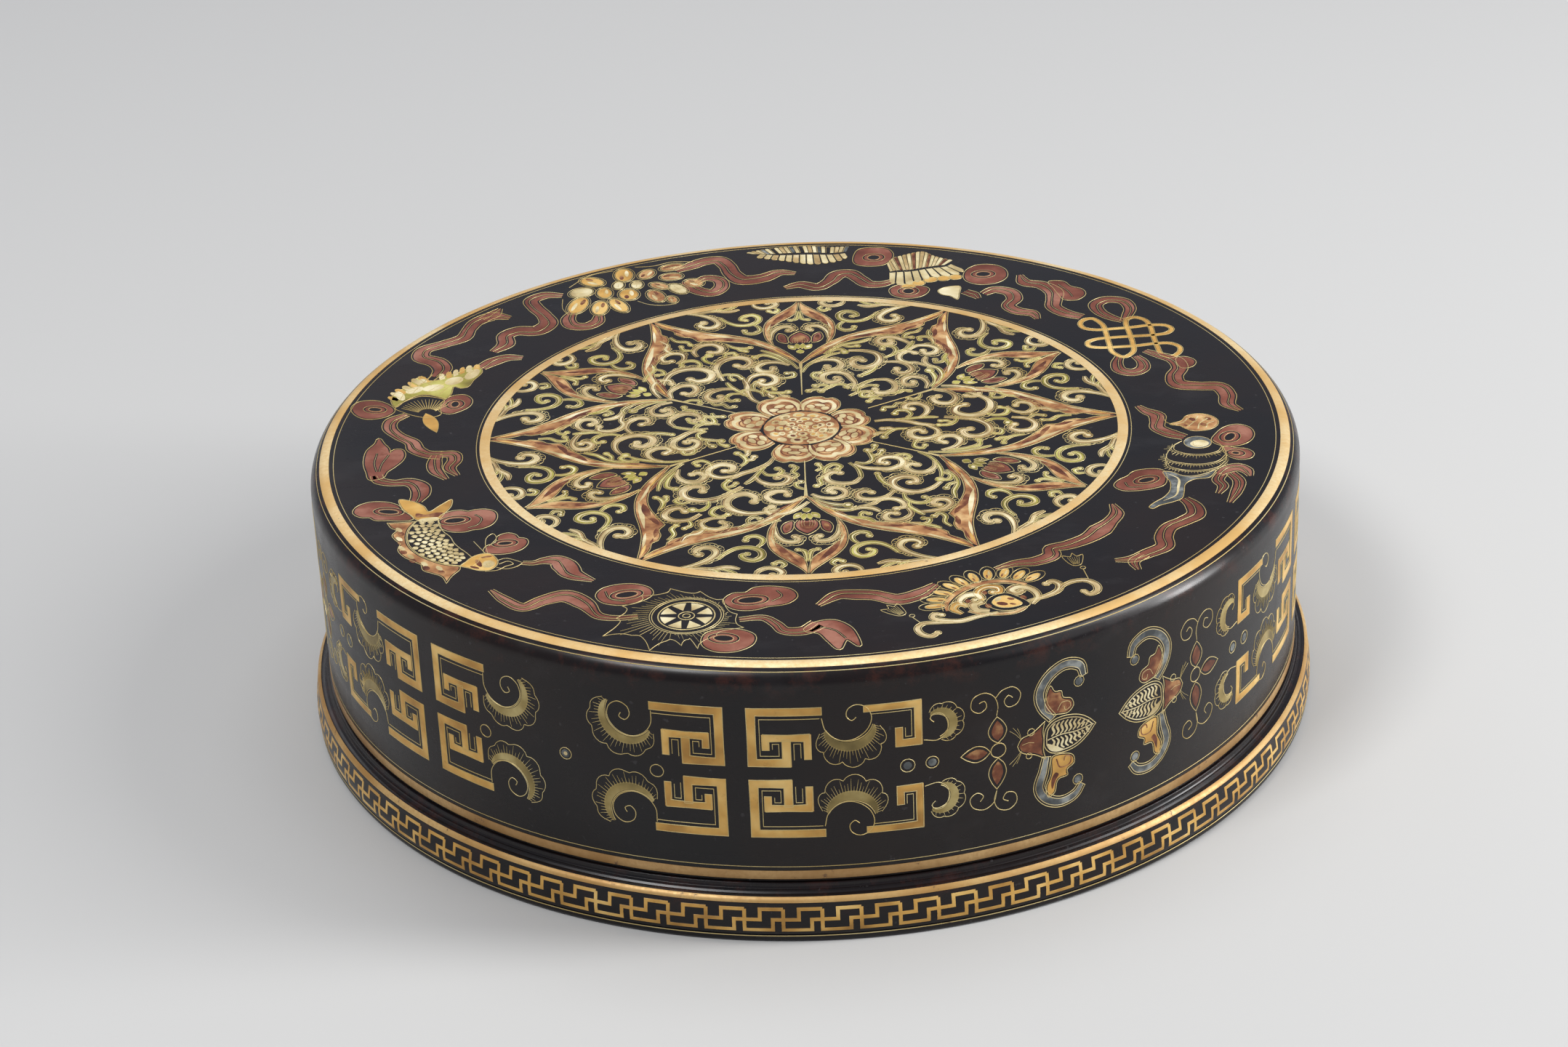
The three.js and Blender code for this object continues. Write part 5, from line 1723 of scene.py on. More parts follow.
def canopy():
    art = newArt()
    rays = [(35.3, -120.6), (36, -116.8), (38, -112.9), (40.6, -109.2), (43.6, -106.6), (47.2, -104.4),
        (51.4, -102.7), (56.2, -102.3), (60.4, -103.8), (64.2, -105.4)]
    middle = np.array([51.8, -118.2])
    for x, y in rays:
        outward = np.array([x, y]) - middle
        outward /= np.linalg.norm(outward)
        fullPetal(art, "gold", np.array([x, y]) - outward * 3.0, np.array([x, y]) + outward * 2.9, 2.5,
            halo=False)
        tilt = math.degrees(math.atan2(outward[1], outward[0]))
        ring(art, oval(x + outward[0] * 0.6, y + outward[1] * 0.6, 4.1, 2.3, tilt, 20), 0.22)
    lobes = flow([(38.8, -123.6), (38.6, -119.6), (40, -116), (42.4, -112.6), (45.6, -109.8),
        (49.6, -107.8), (54, -107), (58.6, -107.8), (62, -109.6)], 1.0)
    band(art, "copper", lobes, [(0, 1.2), (0.5, 2), (1, 1.4)])
    line(art, offsetRun(lobes, 1.3), 0.3)
    line(art, offsetRun(lobes, -1.35), 0.32)
    curls = [[(44.4, -122), (42.4, -118.6), (44, -115.2), (47.4, -114.6), (48.6, -116.8), (46.8, -118)],
        [(49.2, -118.2), (47.8, -113.2), (50.4, -110.2), (53.8, -110.8), (54, -113.4), (52, -113.6)],
        [(62.8, -121.4), (64.8, -117), (63.4, -112.8), (60, -110.8), (57.4, -112.6), (59, -114.6),
        (60.4, -113.4)], [(42.8, -125.6), (40.4, -122.6), (41.8, -119.8), (43.8, -120.6)],
        [(50.6, -124.4), (47, -123.6), (46.2, -120.6), (48.4, -119.4)]]
    for k, points in enumerate(curls):
        scroll(art, "gold" if k % 2 else "cream", points, 3.2, 1.1)
    scroll(art, "copper", [(44.6, -124.2), (48.4, -126), (52.8, -126.4), (57.6, -125.6), (61.2, -122.8)],
        1.8)
    jewel = [(-4.6, -0.6), (-3, 2.8), (0.2, 4.3), (3, 2.4), (5.8, -1.8), (2, -4.2), (-2.2, -3.8)]

    def drop(share):
        return flow([(55.3 + x * share, -119.4 + y * share) for x, y in jewel], closed=True)

    ring(art, drop(1.2), 0.32)
    ring(art, drop(1.02), 1.5, tone="ground")
    fill(art, "gold", drop(0.84))
    ring(art, drop(0.82), 0.34)
    for x, y, long, high in ((54.4, -120.6, 1.7, 1.0), (57, -117.9, 1.1, 0.7), (57.4, -121, 1.0, 0.5)):
        fill(art, "brown", oval(x, y, long, high, -20, 14))
    fill(art, "cream", oval(53.4, -117.9, 0.7, 1.5, -30, 12))
    for x, y in ((45, -118.6), (50.4, -121.6), (49.6, -113.6), (60.6, -117.4), (58.2, -111.8)):
        fill(art, "brown", oval(x, y, 0.9, 1.3, 20, 12))
    scroll(art, "tan", [(61.6, -119.6), (66.8, -117.2), (70.8, -113.8), (71.4, -110.2), (69.6, -108.4),
        (67.6, -109.8)], 2.3, 1.0)
    scroll(art, "tan", [(70.8, -114), (72.8, -110.8), (75.8, -108.8), (79.2, -108.6), (81.8, -111.4),
        (81.8, -115), (79.6, -116.8), (78, -115)], 2.3, 0.9)
    scroll(art, "tan", [(53, -125.6), (46.8, -127.6), (42, -129.7), (37.4, -129.2), (34.4, -127.4),
        (35, -125.2), (37, -125.8)], 2.3, 0.9)
    scroll(art, "tan", [(40, -130.4), (36, -130.2), (31.6, -130.4), (29.8, -133), (31, -136.6),
        (33.4, -137.8), (35.4, -136)], 2.0, 0.9)
    for top, low in (((80, -108), (79, -101.6)), ((31, -130.2), (28.6, -126.4))):
        curves(art, 0.36, [top, low])
        ring(art, circle(low[0], low[1] + 0.8, 0.8), 0.26)
    for centre, angle in (((77, -96.4), 98), ((24.4, -122.6), 128)):
        tuft = rotated(tassel(), angle - 90)
        art = added(art, shifted(tuft, *centre))
    ribbon(art, [(53.8, -99.6), (60, -96.6), (65.6, -95.8), (70.6, -92.4), (71, -88.2), (75.6, -86.6),
        (82.2, -82.4), (86.2, -77.6), (89.6, -72.6), (92, -67.4), (91.2, -61.4)], [0.8, 2.4, 3.8, 4.4, 3.4,
        4.2, 4.6, 6.2, 3.6, 3.2, 0.6])
    ribbon(art, [(36.4, -107.6), (31.6, -112.6), (25, -115.6), (18.4, -112.6), (13.2, -111.8),
        (8.2, -111.6), (2.2, -117.2)], [1.8, 4.6, 5.0, 4.4, 4.6, 3.4, 0.7])
    return art


def tassel():
    # Points up from its knot at the origin
    art = newArt()
    outline = flow([(-1, -2.8), (-2.6, 0.6), (-2.9, 3.6), (-0.8, 2.6), (0.2, 4.6), (1.2, 2.6), (3, 3.4),
        (2.5, 0.4), (1, -2.8)], 0.8, closed=True)
    ring(art, outline, 0.28)
    for x in (-1.7, -1, -0.3, 0.4, 1.1, 1.8):
        band(art, "line", np.array([(x * 0.45, -2.2), (x, 2.2)]), [(0, 0.26), (1, 0.12)])
    return art


def fish():
    art = newArt()
    edgedFill(art, "gold", [(-123.6, -39.8), (-119, -41.6), (-115.6, -45), (-113.9, -48.6), (-110.8, -44.6),
        (-107.6, -41), (-107.4, -45.4), (-109, -50), (-110.4, -53.6), (-116.6, -54.2), (-119.6, -50.2),
        (-122.4, -45.4)])
    fill(art, "brown", flow([(-117.6, -49.4), (-114.8, -50.6), (-111.8, -49.4), (-109.4, -49.8),
        (-110.6, -52.2), (-114.6, -52), (-117.4, -52.2)], closed=True))
    fill(art, "cream", flow([(-116.4, -53.6), (-113.6, -52.6), (-110.8, -52.8), (-110.8, -54.6),
        (-116.4, -55)], closed=True))
    leftSide = [(-117.2, -54.6), (-118.9, -60), (-119, -66), (-117.6, -71.2), (-114.6, -76.2),
        (-110.6, -80.2), (-106.2, -83.2), (-101.8, -84.6)]
    rightSide = [(-98.9, -79.4), (-100.8, -76.2), (-102.8, -73.4), (-104.8, -69.8), (-106.2, -65.8),
        (-108.6, -62), (-109.8, -58), (-110.6, -54.4)]
    body = chain(leftSide, [(-101.8, -84.6), (-100.2, -82), (-98.9, -79.4)], rightSide,
        [(-110.6, -54.4), (-117.2, -54.6)])[:-1]
    ring(art, body, 0.36)
    spine = flow([(-114, -56.2), (-114, -62), (-112.4, -68.4), (-109.6, -74), (-105.6, -78.8),
        (-101, -82.2)], 2.3)
    reach = np.interp(np.linspace(0, 1, len(spine)), [0, 0.3, 0.6, 0.85, 1], [2.8, 5.0, 5.3, 3.8, 2.2])
    across = normals(spine)
    for k in range(len(spine) - 1):
        along = spine[k + 1] - spine[k]
        along /= np.linalg.norm(along)
        count = max(2, round(reach[k] * 2 / 2.3))
        for j in range(count + k % 2):
            at = ((j + 0.5 - 0.5 * (k % 2)) / count * 2 - 1) * 0.93
            middle = spine[k] + across[k] * reach[k] * at
            tilt = math.degrees(math.atan2(along[1], along[0]))
            fill(art, "cream", oval(middle[0], middle[1], 0.86, 0.76, tilt, 10))
            rim = [middle - along * 1.05 * math.cos(t) + across[k] * 1.02 * math.sin(t)
                for t in (-1.5, -0.8, 0, 0.8, 1.5)]
            line(art, np.array(rim), 0.26)
    edgedFill(art, "gold", [(-98.9, -79.4), (-96.4, -77.6), (-94, -77.4), (-92.2, -79.4), (-91, -82.6),
        (-91.4, -85.6), (-93.4, -88), (-96.6, -87.8), (-99.6, -86), (-101.9, -84.7), (-100.4, -82)])
    for x, y, rx, ry, tilt in ((-96.6, -83.4, 0.8, 2.6, 20), (-94.6, -79.6, 1.7, 0.6, 10),
            (-97.6, -86, 1.6, 0.6, -30)):
        fill(art, "brown", oval(x, y, rx, ry, tilt, 14))
    fill(art, "cream", oval(-93.7, -84.2, 1.7, 2.1, 0, 16))
    ring(art, oval(-93.7, -84.2, 1.9, 2.4, 0, 14), 0.34)
    ring(art, oval(-93.7, -84.2, 0.5, 0.7, 0, 10), 0.5)
    curves(art, 0.28, [(-98.2, -84.8), (-96.8, -82.6), (-96.4, -79.8), (-94.6, -79)])
    curves(art, 0.3, [(-91.4, -82.2), (-88.8, -80.9), (-86.2, -82.2), (-83.8, -84)],
        [(-91.2, -86.4), (-88.4, -87.6), (-85.6, -86.6), (-83.8, -84.6)], [(-90.6, -84.4), (-88, -82.8),
        (-86.4, -84.6), (-88.6, -86), (-90.8, -88.2), (-94.4, -88.6)], [(-95, -77.4), (-97, -73.4),
        (-99, -69.4)], [(-94.4, -77), (-95.4, -71.6), (-95.2, -67), (-93.6, -64.8), (-92.4, -67.6),
        (-94.2, -72.6)])
    fin = chain([(-117.6, -54.8), (-121.6, -55.2), (-126, -55.2)], [(-126, -55.2), (-124.6, -58.4),
        (-122.6, -60.4)], [(-122.6, -60.4), (-123.8, -63.4), (-122.6, -66.4), (-120.8, -69)],
        [(-120.8, -69), (-121.2, -73.2), (-119.2, -77.4), (-115.8, -80.8), (-113.6, -82.8)],
        [(-113.6, -82.8), (-112.6, -86.6), (-109.6, -88.8), (-107, -90.8), (-105.2, -95.2)],
        [(-105.2, -95.2), (-103.8, -90.6), (-101.9, -87), (-101.9, -84.9)],
        [(-101.9, -84.9), (-106.4, -83.5), (-110.8, -80.6), (-114.8, -76.6), (-118, -71.4), (-119.4, -66),
        (-119.3, -60), (-117.6, -54.8)])[:-1]
    ring(art, fin, 0.34)
    fill(art, "copper", shrunk(fin, 0.45))
    for x, y in ((-121.6, -60), (-121, -66), (-119.8, -72), (-116.6, -77.6), (-112.2, -82.6),
            (-107.6, -85.6)):
        fill(art, "cream", oval(x - 0.4, y, 0.8, 1.7, 30, 12))
        fill(art, "brown", oval(x + 0.4, y - 2.6, 1.0, 1.5, 30, 10))
    bow(art, [(-123.9, -44), (-127.6, -41.6), (-132.4, -41.2), (-135.8, -43.6), (-136.6, -47.4),
        (-134.4, -50.2), (-131.4, -50.7), (-129.8, -52.5), (-125.6, -53), (-120.6, -53.6), (-118.8, -53),
        (-119.8, -50.6), (-122.2, -47.8)], (-126.2, -47.7, 2.9, 1.2, -14))
    bow(art, [(-110, -52.4), (-108.2, -50), (-104.8, -48.9), (-101.8, -49.9), (-100.2, -49.1),
        (-96.8, -48.9), (-94.2, -50.6), (-93.4, -54.2), (-94.6, -58.4), (-97.4, -60.8), (-100.2, -61.4),
        (-102.2, -62.4), (-105.6, -62.2), (-108.6, -60.2), (-109.8, -57)], (-105.6, -55.2, 2.9, 1.4, 8),
        [[(-99.8, -51.8), (-97.6, -54.6), (-98.6, -58.6), (-101.4, -60.4)]])
    bow(art, [(-95, -76.4), (-94.8, -73.2), (-92, -70.8), (-91.6, -66.8), (-89, -65.2), (-86.8, -66.6),
        (-86, -68.4), (-83.8, -69.2), (-83.2, -71.6), (-84.6, -75), (-88.2, -77.4), (-92.4, -77.6)],
        (-89.6, -71.4, 2, 0.9, 6))
    ribbon(art, [(-83.8, -84.2), (-80.6, -84.6), (-77.4, -83.4), (-73.8, -83.6), (-71, -87.4),
        (-68.6, -92.4), (-62.4, -97)], [0.8, 1.6, 4.4, 6.6, 6.0, 3.6, 0.5])
    return art


def conch():
    art = newArt()
    edgedFill(art, "olive", [(-130.5, 26.6), (-132.4, 31), (-132, 36), (-130, 39.8), (-127.4, 41.6),
        (-126.8, 45.6), (-124.6, 48.6), (-121.4, 46), (-118, 46.4), (-115.8, 49.4), (-112.6, 51),
        (-109.4, 54), (-105.6, 55), (-104.2, 51.4), (-106.6, 45), (-108.2, 40), (-110.6, 39.2),
        (-112.6, 40.6), (-113.2, 35), (-114.8, 31.6), (-118, 33.6), (-121.6, 35.2), (-125.2, 34),
        (-128, 30.6)])
    for x, y, rx, ry, tilt in ((-129.8, 35, 1.4, 3.8, 20), (-125.4, 39, 3.2, 2.2, 40),
            (-119.4, 40.2, 3.6, 2.4, 20), (-113, 45, 3.4, 2.6, 50), (-107.4, 49.6, 2, 4.2, -20),
            (-123.4, 45.6, 1.5, 1.8, 0)):
        fill(art, "cream", oval(x, y, rx, ry, tilt, 20))
    curves(art, 0.36, [(-129.6, 31), (-128.4, 36.4), (-124.4, 39.6)], [(-126, 35.8), (-124, 41),
        (-120.4, 42.8)], [(-121.4, 36.6), (-118.6, 40.6), (-114.6, 44.8)], [(-117, 35.2), (-114.4, 40.2),
        (-110.8, 46)], [(-125.2, 42.6), (-122.4, 44.4), (-120, 42)], [(-112, 43), (-109.4, 48.4),
        (-107, 52.4)])
    curves(art, 0.6, [(-127.2, 42.4), (-126.6, 46.6), (-124, 49.8)], [(-124.6, 41.6), (-122.6, 45.4),
        (-120.6, 50.6)], [(-121.2, 43.6), (-119.2, 47), (-117.4, 50.4)])
    rayed(art, [(-132.6, 32), (-131.4, 38.4), (-127.6, 42), (-126.4, 46.8), (-122.4, 48.8)],
        [(-130.4, 30.6), (-128.8, 36.4), (-125.6, 40), (-123.6, 43.6), (-120.4, 45.4)], 7,
        ["gold", "cream"])
    rayed(art, [(-118.6, 49), (-113.6, 51.8), (-109.6, 55), (-105, 56)], [(-118, 45.8), (-113.4, 48.4),
        (-109, 51.6), (-105, 52.4)], 6, ["cream", "gold"])
    fan = flow([(-130.6, 25.8), (-127.8, 30.8), (-123.2, 34), (-118.6, 33), (-115.2, 30.6), (-116, 25),
        (-115.6, 19.6), (-119.4, 17.8), (-124, 19.6), (-127.8, 22.6)], closed=True)
    ring(art, fan, 0.34)
    for k in range(17):
        angle = math.radians(150 - 6.4 * k)
        start = np.array([-119.6, 20.4])
        reach = 11.5 - 0.1 * abs(k - 6) ** 1.4
        end = start + reach * np.array([math.cos(angle), math.sin(angle)])
        band(art, "line", np.stack([start + (end - start) * 0.35, end]), [(0, 0.5), (1, 0.2)])
    bud(art, "gold", (-120.4, 21), (-115.8, 6.6), 4.4)
    bow(art, [(-131, 23.6), (-133.4, 28.6), (-138, 31.8), (-142.6, 31.2), (-144.4, 27.4), (-142.6, 22),
        (-139.2, 19), (-134, 19.6)], (-137, 25.4, 2, 1.1, -20))
    bow(art, [(-115.6, 22.4), (-115.2, 28.6), (-112.8, 32.8), (-109.2, 33.6), (-106.6, 30), (-107, 25.4),
        (-109.8, 22), (-112.6, 20.4)], (-111.4, 27, 1.1, 1.9, 0))
    ribbon(art, [(-126.4, 20.6), (-130.8, 16.4), (-131, 11), (-127.4, 4.8), (-123, 0), (-121.4, -5),
        (-117.4, -9), (-112.8, -10)], [1.6, 3.6, 3.6, 3.0, 3.4, 4.4, 3.6, 4.4])
    ribbon(art, [(-114.4, -10), (-114.8, -14.6), (-114.2, -20.2), (-110.2, -27)], [2.4, 3.8, 3.2, 0.6],
        0.15)
    ribbon(art, [(-113.6, -9.4), (-109.6, -9.8), (-108.6, -13.6), (-109.8, -19.2), (-107, -24.6)],
        [2.8, 3.8, 3.4, 2.6, 0.6], 0.15)
    ribbon(art, [(-119, 48.6), (-117.6, 54.6), (-119.8, 60), (-125.2, 64.4), (-124.8, 70.4), (-118.6, 74.6),
        (-112.4, 79.2), (-110.8, 86), (-108.6, 92), (-103.4, 96), (-97.6, 94.2)], [3.4, 5.6, 5.8, 5.0, 4.4,
        4.2, 4.6, 3.8, 4.4, 5.6, 1.4])
    ribbon(art, [(-106.6, 93.6), (-103.6, 97.4), (-101.4, 102.2)], [2.8, 4.4, 0.6], 0.15)
    ribbon(art, [(-105, 54.4), (-101.4, 58.6), (-96.6, 61.6), (-91.6, 61)], [3.0, 4.6, 4.0, 1.6])
    return art


def pinkBud():
    art = newArt()
    bow(art, [(-136.8, -10), (-136.4, -4.6), (-134.4, 0), (-133.8, 3.4), (-132, -0.6), (-130.4, -3.6),
        (-129.4, -7), (-128, -5), (-126, -5.2), (-124.9, -8.2), (-125.2, -12.2), (-127.2, -16.6),
        (-129.4, -20.2), (-130.4, -24), (-133.6, -25.2), (-135.2, -20), (-136.4, -15)], None,
        [[(-133.4, -7), (-133.6, -14), (-132.4, -20)], [(-129.6, -8.4), (-131.2, -14.6), (-131.6, -20)]])
    ribbon(art, [(-132.2, -22.6), (-131, -26.2), (-126.6, -28.2), (-121.8, -28), (-118.4, -31),
        (-117.4, -36), (-118.6, -41.6)], [2.6, 3.0, 2.8, 4.2, 5.4, 4.8, 2.8])
    return art


def lotus():
    art = newArt()
    petals = [("gold", (-74.6, 124.6), (-67, 119.6), 6.4), ("cream", (-77.6, 110.6), (-70.6, 115.8), 7.0),
        ("gold", (-59.6, 121.4), (-60.4, 132.4), 6.4), ("copper", (-53.6, 123.4), (-50.6, 130.6), 5.0),
        ("cream", (-61.8, 115.2), (-61.4, 121.2), 3.4), ("cream", (-55.4, 115), (-55.2, 121.2), 3.8),
        ("gold", (-65.8, 107.8), (-66.6, 116.2), 5.0), ("gold", (-57.2, 105.4), (-58.4, 114.6), 6.6),
        ("copper", (-50.2, 112.6), (-46.6, 103), 5.4), ("gold", (-73.2, 109.2), (-76.4, 95.4), 6.4),
        ("gold", (-67, 105.2), (-67.6, 93.6), 5.6), ("gold", (-63.6, 106.8), (-58.4, 95.4), 5.0),
        ("cream", (-43.4, 117.2), (-38.6, 109.4), 5.0), ("copper", (-47.2, 123.4), (-39.8, 124.6), 5.6),
        ("copper", (-47.4, 130.6), (-39.6, 134), 4.8), ("copper", (-50.4, 118.6), (-44.4, 114.2), 4.2),
        ("copper", (-38.6, 119.6), (-32.8, 116.2), 6.0), ("copper", (-43.6, 106.8), (-42, 101.8), 3.0)]
    for tone, base, tip, width in petals:
        fullPetal(art, tone, base, tip, width)
    curves(art, 0.3, [(-78.6, 118), (-72, 127.6), (-63.8, 131.2)], [(-56.4, 133.6), (-50, 134),
        (-43.6, 137), (-36, 136.4)], [(-80.4, 108), (-80, 100), (-77.6, 94)], [(-54.6, 104), (-51, 101),
        (-46, 99.6), (-41.4, 100.6)])
    ribbon(art, [(-42, 129), (-37, 132.6), (-32.4, 136.2), (-27.4, 137), (-24.2, 131.6), (-22.4, 124.4),
        (-18.8, 118.6), (-12, 119.6), (-6.2, 123.8), (-0.6, 122.6)], [2.6, 4.6, 5.0, 5.2, 5.0, 5.4, 6.6,
        5.6, 4.0, 1.2])
    ribbon(art, [(-38.6, 119), (-34.8, 111.6), (-29.4, 108.6), (-26.2, 113), (-27, 119.4), (-31.4, 121.6),
        (-34.8, 118.2)], [3.0, 4.2, 4.6, 4.4, 4.0, 3.6, 1.6])
    ribbon(art, [(-76.4, 97), (-77.8, 90.6), (-76, 85.6), (-71.4, 84.6), (-68, 88), (-67.4, 93)],
        [2.0, 3.8, 4.4, 4.4, 4.0, 2.4])
    ribbon(art, [(-80.6, 111.4), (-87, 112), (-91, 108), (-89.4, 102), (-86, 95), (-84.4, 88),
        (-88.2, 82.6), (-94.2, 83), (-98.2, 79.6), (-97.8, 72.6), (-101.6, 66.8)], [2.0, 4.4, 4.4, 4.4, 4.2,
        5.4, 6.4, 5.8, 4.6, 5.0, 1.8])
    return art


def plume():
    art = newArt()
    rayed(art, [(-17.4, 142.2), (-11, 144.6), (-5, 145.8), (1, 146.2), (7, 145.6), (12.4, 144.2),
        (18.6, 144.2)], [(-15, 141.2), (-9.6, 140.6), (-4, 140.8), (1.6, 140.8), (6.8, 140.4), (12, 139.4),
        (17.6, 140)], 22, ["cream", "tan", "cream", "blueGrey", "cream", "ground"], 0.2)
    rayed(art, [(-14, 138.6), (-9, 136.6), (-4, 134.6), (0.6, 132.6), (5, 130.8), (10, 131.4),
        (14.4, 132.6), (17.8, 136)], [(-12.6, 140.6), (-8, 139.4), (-3, 138.8), (2, 138.8), (6.6, 138.4),
        (10.6, 137.8), (14, 137.8), (17.2, 138.6)], 13, ["cream", "cream", "tan"], 0.35)
    bow(art, [(20.2, 130.2), (20.4, 136), (22.4, 141.4), (27, 142.4), (31.4, 141), (33.2, 136.8),
        (32.4, 131.2), (29.4, 127.2), (25, 126.8), (21.6, 128)], (26.8, 133.8, 1.9, 1.9, 0))
    ribbon(art, [(-4.4, 110.4), (1, 112.6), (6.8, 110), (11, 114.4), (14.2, 120.2), (18, 120.6),
        (21.2, 115.6), (24.2, 110.8), (28.4, 110.2), (32.4, 112.4)], [1.2, 3.8, 4.6, 4.0, 5.0, 5.4, 4.4,
        4.6, 3.8, 2.0])
    return art


def parasol():
    art = newArt()
    rayed(art, [(31.2, 127.4), (33.4, 132), (37.4, 134.4), (41, 136.2), (44.2, 137), (47.2, 133.2),
        (51, 130), (54, 128.2)], [(32, 121), (35, 121.8), (37.8, 121.6), (40.4, 122.2), (42.8, 123.2),
        (45.6, 123.8), (48.6, 124.6), (51, 124.6)], 17, ["cream", "tan", "cream", "brown"], 0.2)
    rayed(art, [(31.4, 113.6), (34.6, 109.8), (38.8, 110.6), (42.4, 113.4), (46.6, 115.8), (51.4, 116),
        (55.4, 117.6), (56.6, 121.6)], [(31.6, 119.6), (35, 120), (38.4, 120), (41.4, 120.6), (44.6, 121.8),
        (48.2, 122.6), (51.4, 123), (53.4, 125.4)], 9, ["cream"], 0.45)
    for x, y, rx, ry in ((37.8, 107.6, 2.4, 1.7), (41.2, 109.8, 2.3, 1.8), (45.6, 112.4, 2.3, 1.8),
            (50.2, 113.2, 2.2, 1.8), (54.2, 113.8, 2, 1.8)):
        fill(art, "gold", oval(x, y, rx, ry, 20))
        ring(art, oval(x, y, rx + 0.3, ry + 0.3, 20), 0.32)
    edgedFill(art, "cream", [(47.6, 102.8), (50.2, 105.4), (55.2, 105.8), (54.8, 100), (53.8, 94.8),
        (51.4, 98), (48.6, 99.6)])
    bow(art, [(31.8, 105.8), (32.2, 101.2), (35.6, 98.2), (39.4, 98), (42.8, 100.4), (44.2, 104.8),
        (41, 107.6), (35.2, 108.8)], (37.6, 103.4, 1.7, 1.9, 0))
    bow(art, [(57.4, 114), (58.8, 119.6), (62.6, 123.2), (68, 122.6), (71.2, 118.6), (71.2, 112.2),
        (67.8, 108), (62.6, 107), (58.4, 109.8)], (63.8, 115.4, 2.3, 1.8, 0))
    ribbon(art, [(56.6, 101.2), (59.4, 98.4), (61, 95)], [2.6, 3.2, 0.8], 0.15)
    ribbon(art, [(62.8, 98.6), (66.8, 101.6), (71.8, 99.2), (73, 93.4), (70.6, 87.8), (73.2, 83.2),
        (78, 80.8), (79.6, 76)], [2.2, 4.2, 4.6, 4.4, 3.6, 4.2, 3.6, 0.8])
    return art


def endlessKnot():
    art = newArt()
    cords = [[(99.2, 72.4), (97.6, 74.4), (95, 74), (93.2, 70.8), (94.2, 67), (98.2, 65.2), (104, 65.6),
        (110, 66.2), (116.6, 67.4), (121.2, 66.6), (122.8, 63.6), (121, 60.6), (117, 59.4), (110, 59),
        (103, 58.6), (97.4, 57.8), (94.4, 55.6), (94.6, 52.4), (98, 51), (104, 51), (110, 51.4),
        (116.6, 52.6), (121.2, 52.2), (123.8, 49), (123, 44.6), (119.8, 41.6), (117.4, 44), (116.6, 50),
        (116.2, 58), (116, 66), (114.8, 71.6), (111.6, 74.2), (108.6, 73)], [(99.2, 72.4), (100.6, 68.6),
        (101, 62), (101.2, 54), (101.8, 46.8), (105, 43), (108.4, 46.8), (108.9, 54), (108.6, 62),
        (108.2, 68.6), (108.6, 73)]]
    for points in cords:
        run = flow(points, 0.9)
        band(art, "gold", run, [(0, 1.35), (1, 1.35)])
        line(art, offsetRun(run, 0.86), 0.3)
        line(art, offsetRun(run, -0.86), 0.3)
    ribbon(art, [(107.6, 71.6), (104, 74.6), (100.6, 79.6), (99.8, 86), (103.6, 89.6), (109, 88),
        (110.8, 82), (109.2, 75.6), (107.8, 71.4)], [1.8, 2.8, 3.4, 3.8, 4.0, 3.6, 3.2, 2.6, 1.6])
    ribbon(art, [(103.6, 43.4), (102.2, 38), (102.8, 33), (106.4, 30.8), (110, 33.4), (110.6, 38.6),
        (108.8, 43.2)], [1.8, 2.8, 3.4, 3.8, 3.4, 2.8, 1.8])
    ribbon(art, [(76.2, 113.4), (77.6, 106.8), (82.8, 104.2), (86.6, 98), (86.2, 91.4), (85.6, 85.4),
        (89, 79.8), (94.2, 76.2)], [1.0, 4.2, 4.6, 5.4, 4.4, 4.4, 4.4, 3.0])
    bow(art, [(86, 106.6), (90.2, 106.2), (92.4, 101.8), (96, 99), (96.6, 94.8), (93.4, 90.8), (90, 91.4),
        (88.4, 96.4), (87.2, 101.4)], None, [[(88.6, 104), (91.4, 98), (92.6, 93.4)]])
    ribbon(art, [(112.2, 47.2), (116.4, 43.4), (121, 39.2), (122, 33), (119.6, 26.8), (120.2, 20.8),
        (126.4, 18.6), (132.6, 17.6), (134.6, 11.4), (134, 4.6), (137.4, -0.4)], [1.4, 3.2, 4.4, 4.2, 4.6,
        5.4, 4.6, 5.0, 4.6, 4.0, 0.8])
    bow(art, [(122.4, 40.8), (125.2, 40.6), (127.2, 37.6), (125.8, 34), (123, 33.2)], None)
    return art


